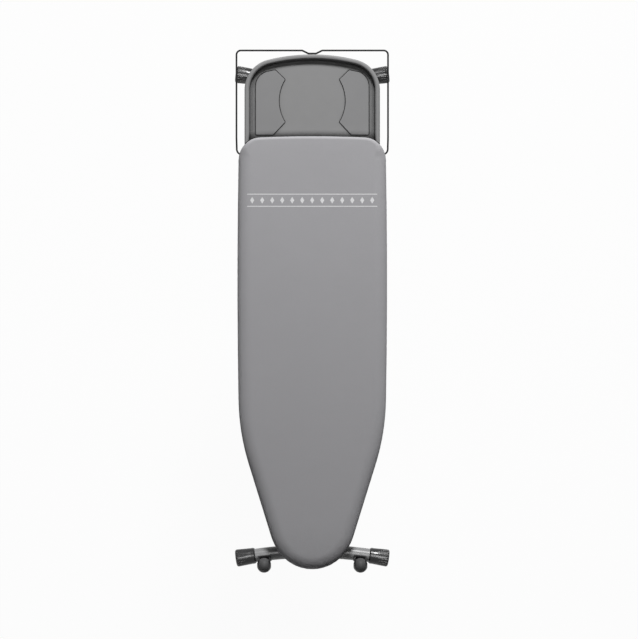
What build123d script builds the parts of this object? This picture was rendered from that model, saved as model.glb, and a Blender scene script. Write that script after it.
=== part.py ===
from build123d import *
from math import acos, asin, cos, degrees, radians, sin, sqrt, tan
import os

os.makedirs("parts", exist_ok=True)

# Millimetres and degrees. +X right, +Y to the tray end, +Z up from the floor. While the pieces are made,
# y = 0 is the wide end of the ironing surface. save() then moves them so that the whole object is centred on Y.

# Ironing surface, seen from above
BOARD_LENGTH = 1216.5
BOARD_WIDTH = 421.0
NOSE_RADIUS = 114.0
NOSE_TURN = 50.0
CHEEK_RADIUS = 152.0
TAPER_ANGLE = 17.2  # between the tapered edge and the centre line
SHOULDER_RADIUS = 650.0
SIDE_FLARE = 1.0  # the side still widens by this much at the shoulder
SIDE_CLOSE = 1.05  # and narrows by this much at the wide end's corner
CORNER_RADIUS = 63.0
CROWN_TURN = 2.5  # half of the turn of the crowned wide end

# Linkage
UPPER_ARM = 430.0  # leg pivot to cross pivot
LOWER_ARM = 668.4  # cross pivot to foot axis
PIVOT_INSET = 75.0  # outer leg's pivot inside the wide end
PIVOT_Z = 64.5  # leg pivots above the floor, folded
WORK_HEIGHT = 920.0  # ironing surface above the floor, legs fully open

# Clearances
SLIP = 0.06  # radial, for what turns on a pin
SNUG = 0.03  # radial, for what is pressed or glued
AIR = 0.3  # between pieces that don't touch
CLOTH_AIR = 0.3  # round the soft layers

# Legs
LEG_TUBE_D = 25.0
TUBE_WALL = 1.5
OUTER_LEG_X = 104.0
OUTER_FOOT_X = 45.0
OUTER_BEND_START = 770.0
OUTER_BEND_END = 1000.0
LEG_BEND_RADIUS = 90.0
INNER_LEG_X = 55.0
SHAFT_D = 20.0
SHAFT_OVERHANG = 4.0  # shaft beyond the outer side of the leg tube
JOURNAL_D = 10.0
JOURNAL_LENGTH = 9.0
SLEEVE_D = 20.0
SLEEVE_OVERHANG = 1.0
BRACE_D = 16.0
BRACE_AT = 0.45  # of the lower arm beyond the cross pivot
CROSS_PIN_D = 8.0
CROSS_HEAD_D = 18.0
CROSS_HEAD_H = 5.0
CROSS_SPACER_D = 16.0

# Feet
FOOT_TUBE_D = 38.0
FOOT_ARCH_RADIUS = 1117.0
CAP_INNER_X = 161.5
CAP_LENGTH = 56.0
CAP_COLLAR_R = 22.5
CAP_END_R = 24.3
CAP_COLLAR = 11.0
CAP_LIP = 1.2  # foot tube to the collar's edge
CAP_LEAD = 3.5
CAP_SEAM_W = 1.2
CAP_SEAM_DEPTH = 0.7
CAP_ROUND = 6.0
CAP_DOME = 1.5
CAP_SOCKET = 40.0  # foot tube inside the cap
FLUTES = 22
FLUTE_R = 2.2
FLUTE_DEPTH = 1.3
FLUTE_START = 15.0

# Ball rollers on the foot at the tip
BALL_R = 20.5
BALL_X = 136.0
BALL_OUT = 26.0  # ball centre beyond the foot tube's axis, along the leg
BALL_UP = 33.5  # and above it
BALL_HALF = 13.0  # half of the turning zone's width
CHEEK_GAP = 0.4
CHEEK_OUT = 19.6  # outer face of a cheek
CHEEK_LINK_R = 8.0
CHEEK_LINK_T = 4.6
AXLE_D = 6.0
AXLE_LENGTH = 35.0
SADDLE_T = 2.2

# Slider and rails
CROSSBAR_D = 12.0
RAIL_WALL = 2.0
RAIL_DEPTH = 16.0
RAIL_HOLLOW = 23.0
RAIL_GAP = 2.5  # inner leg tube to the rail
RAIL_OVERRUN = 30.0  # rail beyond the slider's two end places
SHOE_LENGTH = 40.0
SHOE_ROUND = 3.0
SHOE_WALL = 3.0
ROD_D = 10.0
ROD_BLOCK_W = 24.0
ROD_BLOCK_BACK = 12.0
ROD_BLOCK_FRONT = 26.0
ROD_SOCKET = 15.0
ROD_TAIL = 15.0  # rod beyond the clamp housing, folded
ROD_CHAMFER = 1.2

# Height lock
LOCK_FROM_CROSS = 69.2615  # lock to the member at the slider's open end
HOUSING_HALF = 20.0
HOUSING_W = 44.0
HOUSING_WALL = 2.0
HOUSING_DROP = 26.0
LOCK_TILT = 6.0
LOCK_PLATE_T = 4.0
LOCK_PLATE_H = 17.0
LOCK_PLATE_X = 22.0  # right end of the wide part
LOCK_HOLE_EASE = 0.45
FULCRUM_X = -16.0
FULCRUM_D = 5.0
FULCRUM_EYE_D = 9.0
ARM_ABOVE_ROD = 0.6  # lever arm's lower edge above the rod's axis
LEVER_ARM_H = 10.5
LEVER_ARM_END = 150.0
TANG_H = 9.0
TANG_DROP = 6.5
TANG_END = 194.0
GRIP_START = 142.0
GRIP_END = 203.0
GRIP_T = 20.0
GRIP_H = 16.5
GRIP_ROUND = 5.0
SPRING_R = 8.0
SPRING_WIRE = 1.4
SPRING_TURNS = 5
SPRING_SEAT = 0.4

# Board layers
CROSS_H = 10.5
CROSS_W = 40.0
CROSS_WALL = 1.5
CROSS_2_Y = -210.0
CROSS_FROM_SLIDER = 10.5  # the two members under the rails, beyond the slider's end places
MESH_T = 1.5
MESH_PITCH_X = 34.0
MESH_PITCH_Y = 42.0
MESH_HOLE_X = 25.0
MESH_HOLE_Y = 36.0
MESH_RIM = 37.0
PAD_T = 7.4
PAD_LAP = 2.3  # the pad's lapped edge under the rails' top
COVER_T = 2.0
EDGE_RUN = 22.5  # sloped edge of the cover, in plan
EDGE_DROP = 14.2
EDGE_CROWN_R = 50.0
EDGE_SIDE_R = 17.5
FRAME_INSET = 15.0  # frame inside the cover's edge
COVER_FOLD_R = 3.0
FRAME_W = 18.0
FRAME_H = 13.8
FRAME_WALL = 1.5
HEM_WIDTH = 40.5
HEM_BEAD = 7.0
HEM_TUNNEL = 3.8
HEM_TUNNEL_R = 1.7
ELASTIC = 3.2
ELASTIC_R = 1.5

# Leg pivot brackets
BRACKET_T = 3.0
BRACKET_HALF = 14.0
BRACKET_BELOW = 12.0
BRACKET_FLANGE = 12.0
BUSH_FLANGE_T = 2.6
BUSH_FLANGE_D = 18.0
BUSH_D = 14.0

# Tray
TRAY_HALF = 190.0
TRAY_REACH = 230.0  # beyond the wide end
TRAY_CORNER_R = 87.0
TRAY_END_R = 520.0
TRAY_BELOW = 6.0  # rim's top under the ironing surface
TRAY_DEPTH = 15.0
TRAY_SKIRT = 24.0
TRAY_WALL = 3.0
TRAY_CREST = 7.0  # top of the rim, in from its outer side
TRAY_OUTER_ROUND = 5.0
TRAY_ROLL = 7.0  # rounding from the crest into the inner wall
TRAY_COVE = 6.5  # and from that wall into the floor
TRAY_HOLLOW = 4.5  # hollow of the rim under its crest
TRAY_GAP = 1.0  # to the cover's end
TRAY_TUCK = 70.0  # sides running back beside the cover's corners
RIB_T = 2.4
RIB_XS = (-100.0, -45.0, 0.0, 45.0, 100.0)
RIB_YS = (40.0, 85.0, 130.0)
LANDING_W = 24.0

# Raised pads on the tray's floor
PAD_RISE = 2.5
PAD_SIDE_X = 159.0
PAD_NEAR_Y = 5.0
PAD_FAR_Y = 187.3
PAD_FAR_X = 104.0
PAD_HORN_X = 76.5
PAD_WAIST_X = 93.6
PAD_NEAR_X = 110.2
PAD_HORN_NEAR_Y = 40.8
PAD_HORN_FAR_Y = 160.6
PAD_SHOULDER_Y = 140.9
PAD_SHOULDER_MID = (151.2, 165.9)
PAD_SHOULDER_X = 130.7
PAD_SHOULDER_TOP = 181.6
PAD_CORNER_R = 3.0
PAD_EDGE_ROUND = 1.0
PAD_GROOVE_W = 2.0
PAD_GROOVE_DEPTH = 1.2
PEG_D = 8.0
PEG_X = 118.0
PEG_YS = (62.0, 108.0)
PEG_TAIL = 1.5

# Tray arms
ARM_X = 150.0
ARM_W = 20.0
ARM_H = 12.0
ARM_BACK_Y = -232.0
ARM_FRONT_Y = 200.0
SCREW_D = 5.0
SCREW_HEAD_D = 10.0
SCREW_HEAD_H = 3.0
SCREW_GRIP = 5.0
SCREW_FROM_BUMPER = (40.0, 110.0)
BUMPER_D = 18.0

# Hanger rail
WIRE_D = 5.0
WIRE_X = 213.0
WIRE_REACH = 242.4
WIRE_BELOW = 20.0  # wire's axis under the ironing surface
WIRE_PIVOT_Y = -49.0
WIRE_PIN_X = 163.5
WIRE_CORNER_R = 12.0
WIRE_TURN_R = 16.0
WIRE_BEND_R = 9.0
WIRE_LEVEL_Y = -28.0
WIRE_RISEN_Y = -4.0
NOTCH_TOP = 28.0
NOTCH_FOOT = 11.0
NOTCH_IN = 7.6
NOTCH_DROP = 6.0
NOTCH_R = 6.0
BLOCK_T = 18.0
BLOCK_HALF = 9.0
BLOCK_BORE_END = 1.0
CATCH_HALF = 9.0
CATCH_T = 3.2
CATCH_SHORT = 1.0  # catch ends short of the wire's outer side
CATCH_ROOT = 6.0

# Heights that follow
RAIL_TOP = PIVOT_Z + RAIL_HOLLOW / 2 + RAIL_WALL
MESH_Z = RAIL_TOP + CROSS_H
PAD_Z = MESH_Z + MESH_T + CLOTH_AIR
COVER_INNER_Z = PAD_Z + PAD_T + CLOTH_AIR
TOP_Z = COVER_INNER_Z + COVER_T
FRAME_Z = MESH_Z - FRAME_H
HEM_TOP = FRAME_Z - CLOTH_AIR
HEM_Z = HEM_TOP - COVER_T
BEAD_Z = (HEM_TOP + HEM_Z) / 2
ARM_TOP = BEAD_Z - HEM_BEAD / 2 - AIR
ARM_Z = ARM_TOP - ARM_H
RIM_TOP = TOP_Z - TRAY_BELOW
FLOOR_TOP = RIM_TOP - TRAY_DEPTH
FLOOR_Z = FLOOR_TOP - TRAY_WALL
SKIRT_Z = RIM_TOP - TRAY_SKIRT
WIRE_Z = TOP_Z - WIRE_BELOW
WIRE_PIVOT_Z = ARM_TOP - ARM_H / 2
NOTCH_Z = WIRE_Z - NOTCH_DROP

# Linkage that follows
LEG = UPPER_ARM + LOWER_ARM
CAP_END_X = CAP_INNER_X + CAP_LENGTH - CAP_ROUND
FOOT_SAG = FOOT_ARCH_RADIUS - sqrt(FOOT_ARCH_RADIUS**2 - CAP_END_X**2)
FOLD_ANGLE = degrees(asin((PIVOT_Z - CAP_END_R) / (LEG + FOOT_SAG)))
OPEN_ANGLE = degrees(asin((WORK_HEIGHT - (TOP_Z - PIVOT_Z) - CAP_END_R) / (LEG + FOOT_SAG)))
OUTER_PIVOT_Y = -PIVOT_INSET
SLIDER_Y = OUTER_PIVOT_Y - 2 * UPPER_ARM * cos(radians(FOLD_ANGLE))
SLIDER_OPEN_Y = OUTER_PIVOT_Y - 2 * UPPER_ARM * cos(radians(OPEN_ANGLE))
RAIL_X = INNER_LEG_X + LEG_TUBE_D / 2 + RAIL_GAP  # open side of the rail
CROSS_4_Y = SLIDER_OPEN_Y + CROSS_FROM_SLIDER
LOCK_Y = CROSS_4_Y + LOCK_FROM_CROSS
CROSS_5_Y = SLIDER_Y - CROSS_FROM_SLIDER
BUMPER_ALONG = LEG + FOOT_ARCH_RADIUS - sqrt(FOOT_ARCH_RADIUS**2 - ARM_X**2)
BUMPER_Y = SLIDER_Y + BUMPER_ALONG * cos(radians(FOLD_ANGLE))
BUMPER_Z = PIVOT_Z - BUMPER_ALONG * sin(radians(FOLD_ANGLE)) + FOOT_TUBE_D / 2 + AIR

# Plan outline that follows: the taper's length, the side's radius and the crown's radius close the outline
TAPER_HEADING = 90.0 - TAPER_ANGLE
CHEEK_TURN = TAPER_HEADING - NOSE_TURN
SHOULDER_TURN = TAPER_ANGLE - SIDE_FLARE
SIDE_TURN = SIDE_FLARE + SIDE_CLOSE
CORNER_TURN = 90.0 - SIDE_CLOSE - CROWN_TURN
END_HEADING = 180.0 - CROWN_TURN


def step_x(radius, start, end):
    """Sideways travel of an arc between two headings."""
    return radius * (sin(radians(end)) - sin(radians(start)))


def step_y(radius, start, end):
    """Lengthways travel of an arc between two headings."""
    return radius * (cos(radians(start)) - cos(radians(end)))


SIDE_START = 90.0 - SIDE_FLARE
SIDE_END = 90.0 + SIDE_CLOSE
BEFORE_X = (
    step_x(NOSE_RADIUS, 0, NOSE_TURN)
    + step_x(CHEEK_RADIUS, NOSE_TURN, TAPER_HEADING)
    + step_x(SHOULDER_RADIUS, TAPER_HEADING, SIDE_START)
)
BEFORE_Y = (
    step_y(NOSE_RADIUS, 0, NOSE_TURN)
    + step_y(CHEEK_RADIUS, NOSE_TURN, TAPER_HEADING)
    + step_y(SHOULDER_RADIUS, TAPER_HEADING, SIDE_START)
    + step_y(CORNER_RADIUS, SIDE_END, END_HEADING)
)
TAPER_FIXED = (BOARD_WIDTH / 2 - BEFORE_X) / cos(radians(TAPER_HEADING))
TAPER_PER_SIDE = -step_x(1.0, SIDE_START, 90.0) / cos(radians(TAPER_HEADING))
CORNER_STEP = step_x(CORNER_RADIUS, SIDE_END, END_HEADING)
CROWN_FIXED = (BOARD_WIDTH / 2 + CORNER_STEP) / sin(radians(END_HEADING))
CROWN_PER_SIDE = step_x(1.0, 90.0, SIDE_END) / sin(radians(END_HEADING))
CROWN_STEP = step_y(1.0, END_HEADING, 180.0)
TAPER_RISE = sin(radians(TAPER_HEADING))
LENGTH_PER_SIDE = (
    TAPER_PER_SIDE * TAPER_RISE + step_y(1.0, SIDE_START, SIDE_END) + CROWN_PER_SIDE * CROWN_STEP
)
LENGTH_FIXED = BEFORE_Y + TAPER_FIXED * TAPER_RISE + CROWN_FIXED * CROWN_STEP
SIDE_RADIUS = (BOARD_LENGTH - LENGTH_FIXED) / LENGTH_PER_SIDE
TAPER_LENGTH = TAPER_FIXED + TAPER_PER_SIDE * SIDE_RADIUS
CROWN_RADIUS = CROWN_FIXED + CROWN_PER_SIDE * SIDE_RADIUS

# Length of the whole object, from the ball rollers to the hanger rail
BALL_SAG = FOOT_ARCH_RADIUS - sqrt(FOOT_ARCH_RADIUS**2 - BALL_X**2)
BALL_ALONG = LEG + BALL_SAG + BALL_OUT
BALL_Y = OUTER_PIVOT_Y - BALL_ALONG * cos(radians(FOLD_ANGLE)) - BALL_UP * sin(radians(FOLD_ANGLE))
LOW_Y = min(BALL_Y - BALL_R, -BOARD_LENGTH)
HIGH_Y = WIRE_REACH + WIRE_D / 2
SHIFT_Y = -(LOW_Y + HIGH_Y) / 2


def save(name, *shapes):
    """Write a piece, or a group of equal pieces, centred on Y."""
    placed = [Pos(0, SHIFT_Y, 0) * shape for shape in shapes]
    piece = placed[0] if len(placed) == 1 else Compound(children=placed)
    export_step(piece, f"parts/{name}.step")


def left(shape):
    """The other side's twin of a piece on the right."""
    return mirror(shape, about=Plane.YZ)


def save_pair(name, shape):
    """Write a piece of the right side and its twin."""
    save(f"{name}_right", shape)
    save(f"{name}_left", left(shape))


def block(x0, x1, y0, y1, z0, z1):
    """Box between two corners."""
    return Pos((x0 + x1) / 2, (y0 + y1) / 2, (z0 + z1) / 2) * Box(x1 - x0, y1 - y0, z1 - z0)


def rod(diameter, x0, x1, y=0.0, z=0.0):
    """Round bar along X."""
    return Pos((x0 + x1) / 2, y, z) * Rot(Y=90) * Cylinder(diameter / 2, x1 - x0)


def bar_y(diameter, y0, y1, x=0.0, z=0.0):
    """Round bar along Y."""
    return Pos(x, (y0 + y1) / 2, z) * Rot(X=90) * Cylinder(diameter / 2, y1 - y0)


def post(diameter, z0, z1, x, y):
    """Round bar along Z."""
    return Pos(x, y, (z0 + z1) / 2) * Cylinder(diameter / 2, z1 - z0)


def prism(face, z0, z1):
    """Solid over a plan outline."""
    return extrude(Pos(0, 0, z0) * face, amount=z1 - z0, dir=(0, 0, 1))


def board_outline(inset=0.0):
    """Plan of the ironing surface, moved in by inset."""
    nose = JernArc((0, inset - BOARD_LENGTH), (1, 0), NOSE_RADIUS - inset, NOSE_TURN)
    cheek = JernArc(nose @ 1, nose % 1, CHEEK_RADIUS - inset, CHEEK_TURN)
    taper = Line(cheek @ 1, cheek @ 1 + (cheek % 1) * TAPER_LENGTH)
    shoulder = JernArc(taper @ 1, taper % 1, SHOULDER_RADIUS - inset, SHOULDER_TURN)
    side = JernArc(shoulder @ 1, shoulder % 1, SIDE_RADIUS - inset, SIDE_TURN)
    corner = JernArc(side @ 1, side % 1, CORNER_RADIUS - inset, CORNER_TURN)
    crown = JernArc(corner @ 1, corner % 1, CROWN_RADIUS - inset, CROWN_TURN)
    half = [nose, cheek, taper, shoulder, side, corner, crown]
    return make_face(half + [left(edge) for edge in half])


def rolled_block(inset, z0, z1):
    """Solid over the board's plan whose upper edge slopes and rolls over, as padding does."""
    slope = EDGE_DROP / EDGE_RUN
    drop = EDGE_DROP - inset * (1 + slope - sqrt(1 + slope**2))
    solid = prism(board_outline(inset), z0, z1)
    upper = solid.faces().sort_by(Axis.Z)[-1]
    solid = chamfer(upper.edges(), drop / slope, drop, reference=upper)
    solid = fillet(solid.edges().group_by(Axis.Z)[-1], EDGE_CROWN_R - inset)
    rolled = solid.edges().filter_by_position(Axis.Z, z1 - drop - SNUG, z1 - drop + SNUG)
    return fillet(rolled, EDGE_SIDE_R - inset)


def board_ring(outer, inner, z0, z1):
    """Band that follows the board's edge between two insets."""
    return prism(board_outline(outer), z0, z1) - prism(board_outline(inner), z0, z1)


def tray_outline(inset=0.0):
    """Plan of the tray, moved in by inset; it runs back past the cover's corners."""
    lean = asin((TRAY_HALF - TRAY_CORNER_R) / (TRAY_END_R - TRAY_CORNER_R))
    straight_end = TRAY_REACH - TRAY_CORNER_R * cos(lean) - TRAY_END_R * (1 - cos(lean))
    side = Line((TRAY_HALF - inset, -TRAY_TUCK), (TRAY_HALF - inset, straight_end))
    corner = JernArc(side @ 1, side % 1, TRAY_CORNER_R - inset, 90 - degrees(lean))
    end = JernArc(corner @ 1, corner % 1, TRAY_END_R - inset, degrees(lean))
    back = Line((0, -TRAY_TUCK), side @ 0)
    half = [back, side, corner, end]
    return make_face(half + [left(edge) for edge in half])


def bent_path(points, radii):
    """Path through points with an arc of its own radius at each inner point."""
    points = [Vector(*p) for p in points]
    edges = []
    start = points[0]
    for before, point, after, radius in zip(points, points[1:], points[2:], radii):
        inward = (before - point).normalized()
        outward = (after - point).normalized()
        half_angle = acos(max(-1.0, min(1.0, inward.dot(outward)))) / 2
        reach = radius / tan(half_angle)
        middle = (inward + outward).normalized() * (radius / sin(half_angle) - radius)
        edges.append(Line(start, point + inward * reach))
        edges.append(ThreePointArc(point + inward * reach, point + middle, point + outward * reach))
        start = point + outward * reach
    edges.append(Line(start, points[-1]))
    return Wire(edges)


def swept(path, radius):
    """Round bar along a path."""
    return sweep(Plane(origin=path @ 0, z_dir=path % 0) * Circle(radius), path=path)


def pipe(path, diameter):
    """Tube along a path."""
    return swept(path, diameter / 2) - swept(path, diameter / 2 - TUBE_WALL)


# Legs are made along -Y from a pivot at the origin, then tilted to the folded angle


def outer_leg(shape):
    """Place a piece of the leg whose foot is at the tip."""
    return Pos(0, OUTER_PIVOT_Y, PIVOT_Z) * Rot(X=FOLD_ANGLE) * shape


def inner_leg(shape):
    """Place a piece of the leg whose foot is at the tray end."""
    return Pos(0, SLIDER_Y, PIVOT_Z) * Rot(X=180 - FOLD_ANGLE) * shape


def save_leg_pair(name, place, shape):
    """Write a leg's piece of the right side and its twin, which is the same piece turned over."""
    save(f"{name}_right", place(shape))
    save(f"{name}_left", place(Rot(Y=180) * shape))


def foot_arc(half_width):
    """Arched axis of a foot, its ends further out than its middle."""
    sag = FOOT_ARCH_RADIUS - sqrt(FOOT_ARCH_RADIUS**2 - half_width**2)
    return ThreePointArc((-half_width, -LEG - sag, 0), (0, -LEG, 0), (half_width, -LEG - sag, 0))


def foot_cap():
    """Ribbed end cap of a foot, on the right."""
    tube_r = FOOT_TUBE_D / 2
    seam_end = CAP_COLLAR + CAP_SEAM_W
    outline = [
        Line((0, 0), (0, tube_r + CAP_LIP)),
        Line((0, tube_r + CAP_LIP), (CAP_LEAD, CAP_COLLAR_R)),
        Line((CAP_LEAD, CAP_COLLAR_R), (CAP_COLLAR, CAP_COLLAR_R)),
        Line((CAP_COLLAR, CAP_COLLAR_R), (CAP_COLLAR, CAP_COLLAR_R - CAP_SEAM_DEPTH)),
        Line((CAP_COLLAR, CAP_COLLAR_R - CAP_SEAM_DEPTH), (seam_end, CAP_COLLAR_R - CAP_SEAM_DEPTH)),
        Line((seam_end, CAP_COLLAR_R - CAP_SEAM_DEPTH), (seam_end, CAP_COLLAR_R)),
        Line((seam_end, CAP_COLLAR_R), (CAP_LENGTH - CAP_ROUND, CAP_END_R)),
        RadiusArc((CAP_LENGTH - CAP_ROUND, CAP_END_R), (CAP_LENGTH, CAP_END_R - CAP_ROUND), CAP_ROUND),
        Line((CAP_LENGTH, CAP_END_R - CAP_ROUND), (CAP_LENGTH + CAP_DOME, 0)),
        Line((CAP_LENGTH + CAP_DOME, 0), (0, 0)),
    ]
    body = revolve(make_face(outline), axis=Axis.X)
    flute_r = CAP_END_R - FLUTE_DEPTH + FLUTE_R
    flute = rod(2 * FLUTE_R, FLUTE_START, CAP_LENGTH + CAP_DOME, z=flute_r)
    flute += Pos(FLUTE_START, 0, flute_r) * Sphere(FLUTE_R)
    body -= [Rot(X=turn * 360 / FLUTES) * flute for turn in range(FLUTES)]
    turn = asin(CAP_INNER_X / FOOT_ARCH_RADIUS)
    sag = FOOT_ARCH_RADIUS * (1 - cos(turn))
    placed = Pos(CAP_INNER_X, -LEG - sag, 0) * Rot(Z=-degrees(turn)) * body
    return placed - swept(foot_arc(CAP_INNER_X + CAP_SOCKET), tube_r + SNUG)


def foot_tube():
    """Arched tube of a foot."""
    return pipe(foot_arc(CAP_INNER_X + CAP_SOCKET), FOOT_TUBE_D)


FOOT_BODY = swept(foot_arc(CAP_INNER_X + CAP_SOCKET), FOOT_TUBE_D / 2)
FOOT_TUBE = foot_tube()
FOOT_CAP = foot_cap()

# Outer leg
outer_x_end = OUTER_LEG_X + LEG_TUBE_D / 2 + SHAFT_OVERHANG
outer_path = bent_path(
    [
        (OUTER_LEG_X, 0, 0),
        (OUTER_LEG_X, -OUTER_BEND_START, 0),
        (OUTER_FOOT_X, -OUTER_BEND_END, 0),
        (OUTER_FOOT_X, -LEG, 0),
    ],
    [LEG_BEND_RADIUS, LEG_BEND_RADIUS],
)
outer_shaft = rod(SHAFT_D, -outer_x_end, outer_x_end)
cross_bore_outer = rod(CROSS_PIN_D + 2 * SNUG, INNER_LEG_X, outer_x_end, y=-UPPER_ARM)
cross_bore_inner = rod(CROSS_PIN_D + 2 * SLIP, 0, outer_x_end, y=-UPPER_ARM)
outer_tube = pipe(outer_path, LEG_TUBE_D) - outer_shaft - FOOT_BODY - cross_bore_outer
outer_shaft += rod(JOURNAL_D, -outer_x_end - JOURNAL_LENGTH, outer_x_end + JOURNAL_LENGTH)

pin_start = INNER_LEG_X - LEG_TUBE_D / 2 - AIR
pin_end = OUTER_LEG_X + LEG_TUBE_D / 2
cross_pin = (
    rod(CROSS_PIN_D, pin_start, pin_end, y=-UPPER_ARM)
    + rod(CROSS_HEAD_D, pin_end, pin_end + CROSS_HEAD_H, y=-UPPER_ARM)
    + rod(CROSS_HEAD_D, pin_start - CROSS_HEAD_H, pin_start, y=-UPPER_ARM)
)
cross_pin = fillet(cross_pin.edges().group_by(Axis.X)[-1], CROSS_HEAD_H / 2)
spacer_start = INNER_LEG_X + LEG_TUBE_D / 2 + AIR
cross_spacer = (
    rod(CROSS_SPACER_D, spacer_start, OUTER_LEG_X, y=-UPPER_ARM)
    - rod(CROSS_PIN_D + 2 * SNUG, spacer_start, OUTER_LEG_X, y=-UPPER_ARM)
    - bar_y(LEG_TUBE_D, -LEG, 0, x=OUTER_LEG_X)
)

save("outer_leg_shaft", outer_leg(outer_shaft))
save_leg_pair("outer_leg_tube", outer_leg, outer_tube)
save("outer_foot_tube", outer_leg(FOOT_TUBE))
save_leg_pair("outer_foot_cap", outer_leg, FOOT_CAP)
save_leg_pair("cross_pin", outer_leg, cross_pin)
save("cross_spacers", outer_leg(cross_spacer), outer_leg(Rot(Y=180) * cross_spacer))

# Ball rollers: a turning zone of a ball between two cheeks that complete it


def ball_zone(x0, x1):
    """Slice of the ball between two planes across X."""
    r0 = sqrt(BALL_R**2 - x0**2)
    r1 = sqrt(BALL_R**2 - x1**2)
    middle = (x0 + x1) / 2
    outline = [
        Line((x0, 0), (x0, r0)),
        ThreePointArc((x0, r0), (middle, sqrt(BALL_R**2 - middle**2)), (x1, r1)),
        Line((x1, r1), (x1, 0)),
        Line((x1, 0), (x0, 0)),
    ]
    return revolve(make_face(outline), axis=Axis.X)


cheek_start = BALL_HALF + CHEEK_GAP
cheek_end = cheek_start + CHEEK_LINK_T
link_length = sqrt(BALL_OUT**2 + BALL_UP**2)
link_tilt = degrees(asin(BALL_UP / link_length))
saddle_r = FOOT_TUBE_D / 2 + SADDLE_T
saddle = rod(2 * saddle_r, -cheek_end, cheek_end)
saddle &= block(-cheek_end, cheek_end, -saddle_r, 0, -saddle_r, saddle_r)
ball = ball_zone(-BALL_HALF, BALL_HALF)
ball -= rod(AXLE_D + 2 * SLIP, -BALL_HALF, BALL_HALF)
axle = rod(AXLE_D, -AXLE_LENGTH / 2, AXLE_LENGTH / 2)
axle_bore = rod(AXLE_D + 2 * SNUG, -AXLE_LENGTH / 2, AXLE_LENGTH / 2)
axles = []
for name, side in (("right", 1), ("left", -1)):
    at = Pos(side * BALL_X, -BALL_ALONG, BALL_UP)
    saddle_turn = -side * degrees(asin(BALL_X / FOOT_ARCH_RADIUS))
    fork = Pos(side * BALL_X, -LEG - BALL_SAG, 0) * Rot(Z=saddle_turn) * saddle
    for x0, x1, outer in ((cheek_start, cheek_end, CHEEK_OUT), (-cheek_end, -cheek_start, -CHEEK_OUT)):
        link = block(x0, x1, 0, link_length, -CHEEK_LINK_R, CHEEK_LINK_R)
        fork += at * Rot(X=-link_tilt) * link
        fork += at * ball_zone(min(x0, outer), max(x1, outer))
    fork = fork - FOOT_BODY - at * axle_bore
    axles.append(outer_leg(at * axle))
    save(f"roller_fork_{name}", outer_leg(fork))
    save(f"ball_roller_{name}", outer_leg(at * ball))
save("roller_axles", *axles)

# Inner leg
sleeve_x0 = INNER_LEG_X - LEG_TUBE_D / 2 - SLEEVE_OVERHANG
sleeve_x1 = INNER_LEG_X + LEG_TUBE_D / 2 + SLEEVE_OVERHANG
sleeve_body = rod(SLEEVE_D, sleeve_x0, sleeve_x1)
inner_path = Line((INNER_LEG_X, 0, 0), (INNER_LEG_X, -LEG, 0))
inner_tube = pipe(inner_path, LEG_TUBE_D) - sleeve_body - FOOT_BODY - cross_bore_inner
sleeve = sleeve_body - rod(CROSSBAR_D + 2 * SLIP, sleeve_x0, sleeve_x1)
brace_y = -UPPER_ARM - BRACE_AT * LOWER_ARM
brace = rod(BRACE_D, -INNER_LEG_X, INNER_LEG_X, y=brace_y) - rod(
    BRACE_D - 2 * TUBE_WALL, -INNER_LEG_X, INNER_LEG_X, y=brace_y
)
inner_body = bar_y(LEG_TUBE_D, -LEG, 0, x=INNER_LEG_X)
brace = brace - inner_body - left(inner_body)

save_leg_pair("inner_leg_tube", inner_leg, inner_tube)
save_leg_pair("inner_leg_sleeve", inner_leg, sleeve)
save("inner_leg_brace", inner_leg(brace))
save("inner_foot_tube", inner_leg(FOOT_TUBE))
save_leg_pair("inner_foot_cap", inner_leg, FOOT_CAP)

# Slider
rail_web = RAIL_X + RAIL_DEPTH
crossbar_end = rail_web - RAIL_WALL - AIR - SHOE_WALL
shoe_half = RAIL_HOLLOW / 2 - AIR
crossbar = rod(CROSSBAR_D, -crossbar_end, crossbar_end, y=SLIDER_Y, z=PIVOT_Z)
shoe = block(
    RAIL_X + AIR,
    rail_web - RAIL_WALL - AIR,
    SLIDER_Y - SHOE_LENGTH / 2,
    SLIDER_Y + SHOE_LENGTH / 2,
    PIVOT_Z - shoe_half,
    PIVOT_Z + shoe_half,
)
shoe = fillet(shoe.edges().filter_by(Axis.X), SHOE_ROUND)
shoe -= rod(CROSSBAR_D + 2 * SNUG, RAIL_X, crossbar_end, y=SLIDER_Y, z=PIVOT_Z)
lock_rod_start = SLIDER_Y + ROD_BLOCK_FRONT - ROD_SOCKET
lock_rod_end = LOCK_Y + HOUSING_HALF + ROD_TAIL
lock_rod = bar_y(ROD_D, lock_rod_start, lock_rod_end, z=PIVOT_Z)
lock_rod = chamfer(lock_rod.edges().group_by(Axis.Y)[-1], ROD_CHAMFER)
rod_block = block(
    -ROD_BLOCK_W / 2,
    ROD_BLOCK_W / 2,
    SLIDER_Y - ROD_BLOCK_BACK,
    SLIDER_Y + ROD_BLOCK_FRONT,
    PIVOT_Z - ROD_BLOCK_W / 2,
    PIVOT_Z + ROD_BLOCK_W / 2 - AIR,
)
rod_block = fillet(rod_block.edges().filter_by(Axis.X), SHOE_ROUND)
rod_block -= rod(CROSSBAR_D + 2 * SNUG, -ROD_BLOCK_W, ROD_BLOCK_W, y=SLIDER_Y, z=PIVOT_Z)
rod_block -= bar_y(ROD_D + 2 * SNUG, lock_rod_start, lock_rod_end, z=PIVOT_Z)

save("slider_crossbar", crossbar)
save_pair("slider_shoe", shoe)
save("lock_rod", lock_rod)
save("rod_block", rod_block)

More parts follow.
